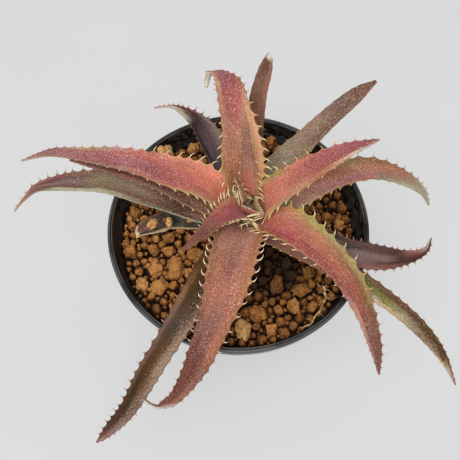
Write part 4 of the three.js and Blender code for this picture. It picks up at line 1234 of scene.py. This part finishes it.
point_like = {
    "cup": (70, 40), "scurf": (0.0, 0.4, 0.0, 0.4), "spines": (0.4, 0.2, 0.4, 0.2), "gaps": (1.1, 1.1, 1.1),
    "spine": "grey_pink", "underside": "dark_olive",
}
heart_leaves = [
    a_leaf("heart_leaf_back", *["70 blackish, dull_mauve"] * 5, **point_like,
           rib=[(3.2, -0.6, 80.5, 2), (3, -0.6, 82, 1.8), (2.8, -0.7, 83.2, 1.1), (2.6, -0.8, 83.9, 0.4)]),
    a_leaf("heart_leaf_front", *["70 blackish, taupe"] * 5, **point_like,
           rib=[(3.9, -0.5, 80.5, 2), (3.8, -0.4, 82, 1.8), (3.6, -0.3, 83.2, 1.1), (3.5, -0.2, 83.8, 0.4)]),
]
for index, leaf in enumerate(heart_leaves):
    grow(leaf, HEART_SEED + index, HEART_SKIN_SEED + index * HEART_SKIN_STEP)

# Rims of the hollow: left, front and right, and the inner edges of the walls that fold in from them
left_rim = [(-1.5, 1.8, 95), (-0.7, 1.2, 92), (-0.2, 0.8, 90.5), (0.1, -0.2, 89), (0.7, -1.8, 87.6),
            (0.9, -2.7, 87)]
left_inner = [(-0.6, 2.4, 94), (0.5, 2, 91.4), (1.1, 1.3, 90), (1.8, 0.4, 88.4), (2.4, -0.3, 87),
              (2.6, -1.3, 86)]
front_rim = [(0.8, -2.8, 87.2), (1, -3.5, 87), (3.1, -4.4, 86.5), (5, -5.2, 86), (6.6, -5.5, 85.4),
             (8, -5.8, 84.8)]
front_inner = [(x - 0.5, y - 0.9, z - SHEATH_DEPTH) for x, y, z in front_rim]
right_rim = [(5.3, -1.2, 89.4), (5.9, -2.9, 87.5), (6.9, -4.3, 86), (8, -5.8, 84.8)]
right_inner = [(4.6, -1.2, 87.4), (4.6, -2.4, 85.4), (5, -3.6, 84.2), (6.8, -5.2, 83.6)]
# Margins folded round it: the path of each, its radius, its paint, and its hooks, each by its share of the
# way along, the way that it points and its length
folded_margins = [
    (left_rim, 0.22, "pale_pink", [(0.35, (-1, 0.1, 0.3), 1.7), (0.15, (-1, 0.3, 0.2), 1.4)]),
    (left_inner, 0.15, "tan",
     [(0.5, (1, -0.2, 0.1), 2.1), (0.85, (1, -0.35, 0.1), 2.3), (0.25, (1, 0, 0.2), 1.3)]),
    (front_rim, 0.3, "grey_pink", []),
    (right_rim, 0.26, "grey_pink", [(0.12, (1, 0.1, 0.1), 1.9)]),
    ([(7.2, -5.6, 84.6), (5, -5.9, 85.2), (2.9, -6.7, 85.6), (0.7, -7.6, 86), (-2.1, -8.8, 86),
      (-3.6, -9.7, 86)], 0.34, "cream", [(0.74, (0.9, -0.7, 0.1), 1.6)]),
    ([(7.6, -5.9, 84.4), (5.6, -6.5, 84.7), (3.4, -7.5, 85), (1.2, -8.5, 85.2)], 0.2, "yellow_olive", []),
    ([(7.4, -6.3, 84), (4.4, -7.6, 84.4), (2.3, -8.6, 84.6), (0, -9.5, 84.8)], 0.2, "cream",
     [(0.7, (0.5, -1, 0), 1.5), (0.95, (0.3, -1, 0), 1.5)]),
    ([(-1.1, 1.6, 89), (-0.9, -0.5, 88), (-0.4, -2.4, 87.2), (0.4, -3.6, 86.6)], 0.17, "yellow_olive",
     [(0.2, (-1, 0.4, 0.3), 1.7), (0.5, (-0.8, 0.8, 0.3), 1.8)]),
    ([(-0.5, 0.9, 88.6), (-0.3, -1, 87.8), (0.2, -2.7, 87)], 0.14, "cream", [(0.4, (-0.9, 0.5, 0.4), 1.9)]),
]
fold_shares = np.linspace(0, 1, FOLD_STEPS)


def sheath_wall(name, outer, inner, lit, deep):
    """A thin wall between two edges, darker towards its inner one."""
    first = spline(outer, fold_shares)
    second = spline(inner, fold_shares)
    normal = unit(np.cross(second - first, np.gradient(first, axis=0))) * SHEATH_HALF
    middle = (first + second) / 2
    half = (second - first) / 2
    rings = [middle[k] + circle(SHEATH_SIDES, half[k], normal[k]) for k in range(FOLD_STEPS)]
    material, tree, shader = finish(name + "_tissue")
    rough = rough_noise(tree, spot(tree), 0.5, 4.0)
    # Painted shade: darker from the lit edge towards the inner one, down in the hollow
    colour = tinted(tree, band(tree, mark(tree, "inward"), 0.1, 0.95), palette[lit], palette[deep])
    streaked = tinted(tree, band(tree, rough, 0.4, 0.7, 0.0, 0.3), colour, palette["straw"])
    plug(tree, shader, {"Base Color": streaked, "Roughness": 0.55})
    bumped(tree, shader, rough, 0.1)
    made = piece(name, np.vstack(rings), ring_faces(FOLD_STEPS, SHEATH_SIDES), material)
    angles = np.arange(SHEATH_SIDES) * 2 * math.pi / SHEATH_SIDES
    marked(made, inward=np.tile((1 + np.cos(angles)) / 2, FOLD_STEPS))


def horn(name, colour):
    """Tissue of this colour with grown-out cream hooks."""
    material, tree, shader = finish(name)
    rough = rough_noise(tree, spot(tree), 0.7, 4.0)
    streaked = tinted(tree, band(tree, rough, 0.4, 0.65, 0.0, 0.6), colour, palette["cream"])
    stained = tinted(tree, band(tree, rough, 0.5, 0.3, 0.0, 0.5), streaked, palette["olive_tan"])
    tipped = tinted(tree, band(tree, mark(tree, "spine"), 0.05, 0.4), stained, palette["cream"])
    plug(tree, shader, {"Base Color": tipped, "Roughness": 0.45})
    bumped(tree, shader, rough, 0.1)
    return material


sheath_wall("left_wall", left_rim, left_inner, "olive_tan", "olive_brown")
sheath_wall("front_wall", front_rim, front_inner, "rose", "maroon")
sheath_wall("right_wall", right_rim, right_inner, "yellow_olive", "rose_brown")

for index, (route, radius, paint_name, hooks) in enumerate(folded_margins):
    path = spline(route, fold_shares)
    ways = unit(np.gradient(path, axis=0))
    made = tube(path, radius * np.interp(fold_shares, (0, 0.15, 0.85, 1), (0.5, 1, 1, 0.4)), MARGIN_SIDES)
    margin_parts = [made]
    margin_steps = [np.zeros(len(made[0]))]
    for share, outward, size in hooks:
        k = int(share * (FOLD_STEPS - 1))
        outward = unit(np.array(outward))
        hook = spine(path[k], outward, ways[k], np.array([0, 0, 1.0]), size, HOOK_BEND, radius)
        margin_parts.append(hook[:2])
        margin_steps.append(hook[2])
    points, faces = joined(margin_parts)
    tissue = horn(f"margin_tissue_{index + 1}", palette[paint_name])
    made = piece(f"folded_margin_{index + 1}", points, faces, tissue)
    marked(made, spine=np.concatenate(margin_steps))


# Dead leaf
# The dry stub of an old leaf, torn off short and curled into a channel. It lies where it fell on the crumbs,
# dark inside, with a bleached rim and end, and a few crumbs have rolled into it.
STUB_HALF = 0.3
STUB_TEAR = 0.35
STUB_CRUMPLE = 0.22
STUB_SEED = 7
STRANDED_SEED = 300
STRANDED_SWELL = 1.15

stub = a_leaf("dead_leaf", cup=(78, 68), roll=(0, -12),
              rib=[(0, -0.6, 63.5, 5), (-8, 2.4, 61.8, 6.2), (-16, 3.9, 60.9, 6.8), (-24, 3.9, 60.4, 6.8),
                   (-30, 2.1, 60.3, 5.8), (-36, -0.9, 60.4, 2.8)])
rib = rib_of(stub, np.random.default_rng(STUB_SEED))
wave = 0.35 * np.sin(rib.along / 1.7) + 0.25 * np.sin(rib.along / 0.8 + 1)


def stub_line(s, facing):
    """Places along the stub at a share across it, on one face, ragged at its margins and torn at its end."""
    ragged = (wave * (1 if s > 0 else -0.8) + 0.2) * max(0.0, (abs(s) - 0.7) / 0.3)
    half = STUB_HALF * (0.5 + 0.5 * (1 - abs(s) ** 4)) * facing
    torn = rib.heading * (STUB_TEAR * (np.sin(s * 5.5) - 0.6 * s) * rib.share ** 12)[:, None]
    crumple = rib.face * (STUB_CRUMPLE * np.sin(s * 7 + rib.along / 2.3))[:, None]
    return sheet_line(rib, s, ragged, half) + torn + crumple


dark_inside = paint(46, 38, 36)
grey_inside = paint(88, 86, 68)
reddish_end = paint(124, 84, 76)
dry_back = paint(142, 108, 78)
bleached_rim = paint(216, 186, 146)
brown_rim = paint(126, 96, 78)
bleached_end = paint(226, 202, 164)
worn_tint = paint(74, 50, 40)
green_dust = paint(132, 128, 98)
dry_leaf, tree, shader = finish("dry_leaf")
place = spot(tree)
fibre = rough_noise(tree, place, 0.8, 5.0, 0.65)
cloud = rough_noise(tree, place, 3.5, 3.0)
share = mark(tree, "share")
side = mark(tree, "across")
inside = tinted(tree, band(tree, cloud, 0.4, 0.6), dark_inside, grey_inside)
at_end = maths(tree, "MULTIPLY", band(tree, share, 0.7, 0.8), band(tree, side, -0.5, 0.0))
backed = tinted(tree, mark(tree, "under"), tinted(tree, at_end, inside, reddish_end), dry_back)
front_rimmed = tinted(tree, band(tree, side, -0.62, -0.8), backed, bleached_rim)
rimmed = tinted(tree, band(tree, side, 0.86, 0.97), front_rimmed, brown_rim)
at_tear = band(tree, maths(tree, "MULTIPLY_ADD", cloud, 0.06, share), 0.995, 1.01)
bleached = tinted(tree, at_tear, rimmed, bleached_end)
worn = tinted(tree, band(tree, fibre, 0.35, 0.6, 0.5, 0.0), bleached, worn_tint, "MULTIPLY")
film = placed(tree, dust, {"Place": place, "Colour": worn, "Dust": green_dust, "Amount": 0.2, "Size": 0.6})
plug(tree, shader, {"Base Color": film["Colour"], "Roughness": 0.75})
bumped(tree, shader, fibre, 0.2)
points, faces, across, under = sheet(rib, stub_line)
dead = piece("dead_leaf_stub", points, faces, dry_leaf, ["dead_leaf"])
marked(dead, share=np.repeat(rib.share, 2 * ACROSS_POINTS), across=across, under=under)

# Crumbs that rolled into the channel: [x, y, z, length across]
stranded = [(-29.8, 1.2, 63.2, 3.8), (-24.1, 2.2, 63.1, 2.8), (-16.3, 2.9, 64, 2.8)]
for index, (x, y, z, wide) in enumerate(stranded):
    shape, relief = chipped(fine_ball[0], np.random.default_rng(STRANDED_SEED + index), 6, 30, 0.06)
    shape = shape * wide / 2 * STRANDED_SWELL + np.array([x, y, z])
    made = piece(f"stranded_crumb_{index + 1}", shape, fine_ball[1].tolist(), granule_clay)
    # Painted shade in the hollows of each crumb
    marked(made, tone=np.full(len(shape), 1.4), clean=np.clip(1 + 0.08 * relief, 0, 1))


# Dry root
# One dead root, washed out of the fill and dried to straw. It lies in a bow on the crumbs, with short side
# rootlets and a tuft where it broke off.
ROOT_LIFT = 1.25
LAID_STEPS = 60
LAID_RADIUS = 0.46
LAID_SIDES = 9
ROOTLET_STEPS = 14
ROOTLET_SIDES = 6
LAID_SEED = 17
root_route = [(28.7, -20.2), (29.5, -23), (28.8, -26), (26.5, -29.8), (24, -33), (21.4, -34.6)]
# Side rootlets: share along the root at which each leaves it, its turn in degrees, its length and radius
rootlets = [(0.02, 150, 2.6, 0.3), (0.05, 60, 2.2, 0.24), (0.1, -20, 3.4, 0.22), (0.16, 190, 2.2, 0.2),
            (0.3, 10, 4.6, 0.2), (0.42, 200, 2.4, 0.16), (0.58, -30, 3.2, 0.18), (0.72, 170, 2.6, 0.16),
            (0.86, -60, 3, 0.16), (0.95, 230, 3.6, 0.2)]

straw_brown = paint(150, 112, 66)
straw_pale = paint(222, 192, 134)
earth_dust = paint(110, 74, 40)
straw_root, tree, shader = finish("straw_root")
place = spot(tree)
fibre = rough_noise(tree, place, 0.6, 5.0, 0.65)
straw = tinted(tree, band(tree, fibre, 0.35, 0.65), straw_brown, straw_pale)
dusty = placed(tree, dust, {"Place": place, "Colour": straw, "Dust": earth_dust, "Amount": 0.34, "Size": 0.9})
plug(tree, shader, {"Base Color": dusty["Colour"], "Roughness": 0.8})
bumped(tree, shader, fibre, 0.15)


def laid(route, count):
    """A path over the crumbs, from [x, y] places."""
    flat = spline([(x, y, 0) for x, y in route], np.linspace(0, 1, count))
    flat[:, 2] = fill_height(flat[:, 0], flat[:, 1]) + ROOT_LIFT + 0.2 * np.sin(flat[:, 0] * 1.7)
    return flat


chance = np.random.default_rng(LAID_SEED)
main = laid(root_route, LAID_STEPS)
main[:, 0] += 0.25 * np.sin(np.linspace(0, 26, LAID_STEPS))
knots = 1 + 0.25 * np.sin(np.linspace(0, 37, LAID_STEPS))
taper = np.interp(np.linspace(0, 1, LAID_STEPS), (0, 0.15, 1), (1.35, 1, 0.6))
parts = [tube(main, LAID_RADIUS * knots * taper, LAID_SIDES)]
for share, turn, length, radius in rootlets:
    start = main[int(share * (LAID_STEPS - 1))]
    angle = math.radians(turn)
    way = np.array([math.cos(angle), math.sin(angle)])
    bow = np.array([-way[1], way[0]]) * chance.uniform(-0.3, 0.3) * length
    path = laid([start[:2], start[:2] + way * length / 2 + bow, start[:2] + way * length], ROOTLET_STEPS)
    path[0, 2] = start[2]
    parts.append(tube(path, radius * np.linspace(1, 0.35, ROOTLET_STEPS), ROOTLET_SIDES))
points, faces = joined(parts)
piece("dry_root_and_rootlets", points, faces, straw_root, ["dry_root"])


# Floor, light and camera
# A pale table under soft, even light from all round, seen from above the front as the picture was taken.
CAMERA_PLACE = (-2.86, -98.55, 272.6)
CAMERA_PITCH = 65.01
CAMERA_LENS = 52
CAMERA_SENSOR = 36
FLOOR_HALF = 1500
FLOOR_GLOW = 0.51
ROOM_GLOW = 0.34
room_blue = (0.97, 0.985, 1.0)
lamp_aim = (0, 0, 60)

pale, tree, shader = finish("pale_table")
speck = rough_noise(tree, spot(tree), 60, 2.0)
plug(tree, shader, {
    "Base Color": tinted(tree, speck, paint(116, 116, 115), paint(122, 122, 121)),
    "Roughness": 0.8,
    "Specular IOR Level": 0.1,
    "Emission Color": (0.992, 0.997, 1, 1),
    "Emission Strength": FLOOR_GLOW,
})
floor_mesh = bpy.data.meshes.new("table")
corners = [(x * FLOOR_HALF, y * FLOOR_HALF, 0) for x, y in ((-1, -1), (1, -1), (1, 1), (-1, 1))]
floor_mesh.from_pydata((np.array(corners) * MM).tolist(), [], [(0, 1, 2, 3)])
floor_mesh.materials.append(pale)
floor = bpy.data.objects.new("table", floor_mesh)
bpy.context.scene.collection.objects.link(floor)

world = bpy.data.worlds.new("soft_room")
world.use_nodes = True
plug(world.node_tree, world.node_tree.nodes["Background"], {"Color": (*room_blue, 1), "Strength": ROOM_GLOW})
bpy.context.scene.world = world


def lamp(name, place, size, power, colour):
    """A square soft light, in millimetres, that points at the plant."""
    data = bpy.data.lights.new(name, "AREA")
    data.size = size * MM
    data.energy = power
    data.color = colour
    made = bpy.data.objects.new(name, data)
    made.location = Vector(place) * MM
    made.rotation_euler = (Vector(lamp_aim) - Vector(place)).to_track_quat("-Z", "Y").to_euler()
    bpy.context.scene.collection.objects.link(made)


lamp("softbox", (-120, -330, 840), 520, 6.6, (1.0, 0.99, 0.975))
lamp("room", (120, 260, 800), 800, 1.6, room_blue)

lens = bpy.data.cameras.new("viewer")
lens.lens = CAMERA_LENS
lens.sensor_width = CAMERA_SENSOR
viewer = bpy.data.objects.new("viewer", lens)
viewer.location = Vector(CAMERA_PLACE) * MM
viewer.rotation_euler = (math.radians(90 - CAMERA_PITCH), 0, 0)
bpy.context.scene.collection.objects.link(viewer)
bpy.context.scene.camera = viewer
bpy.context.scene.view_settings.view_transform = "Standard"
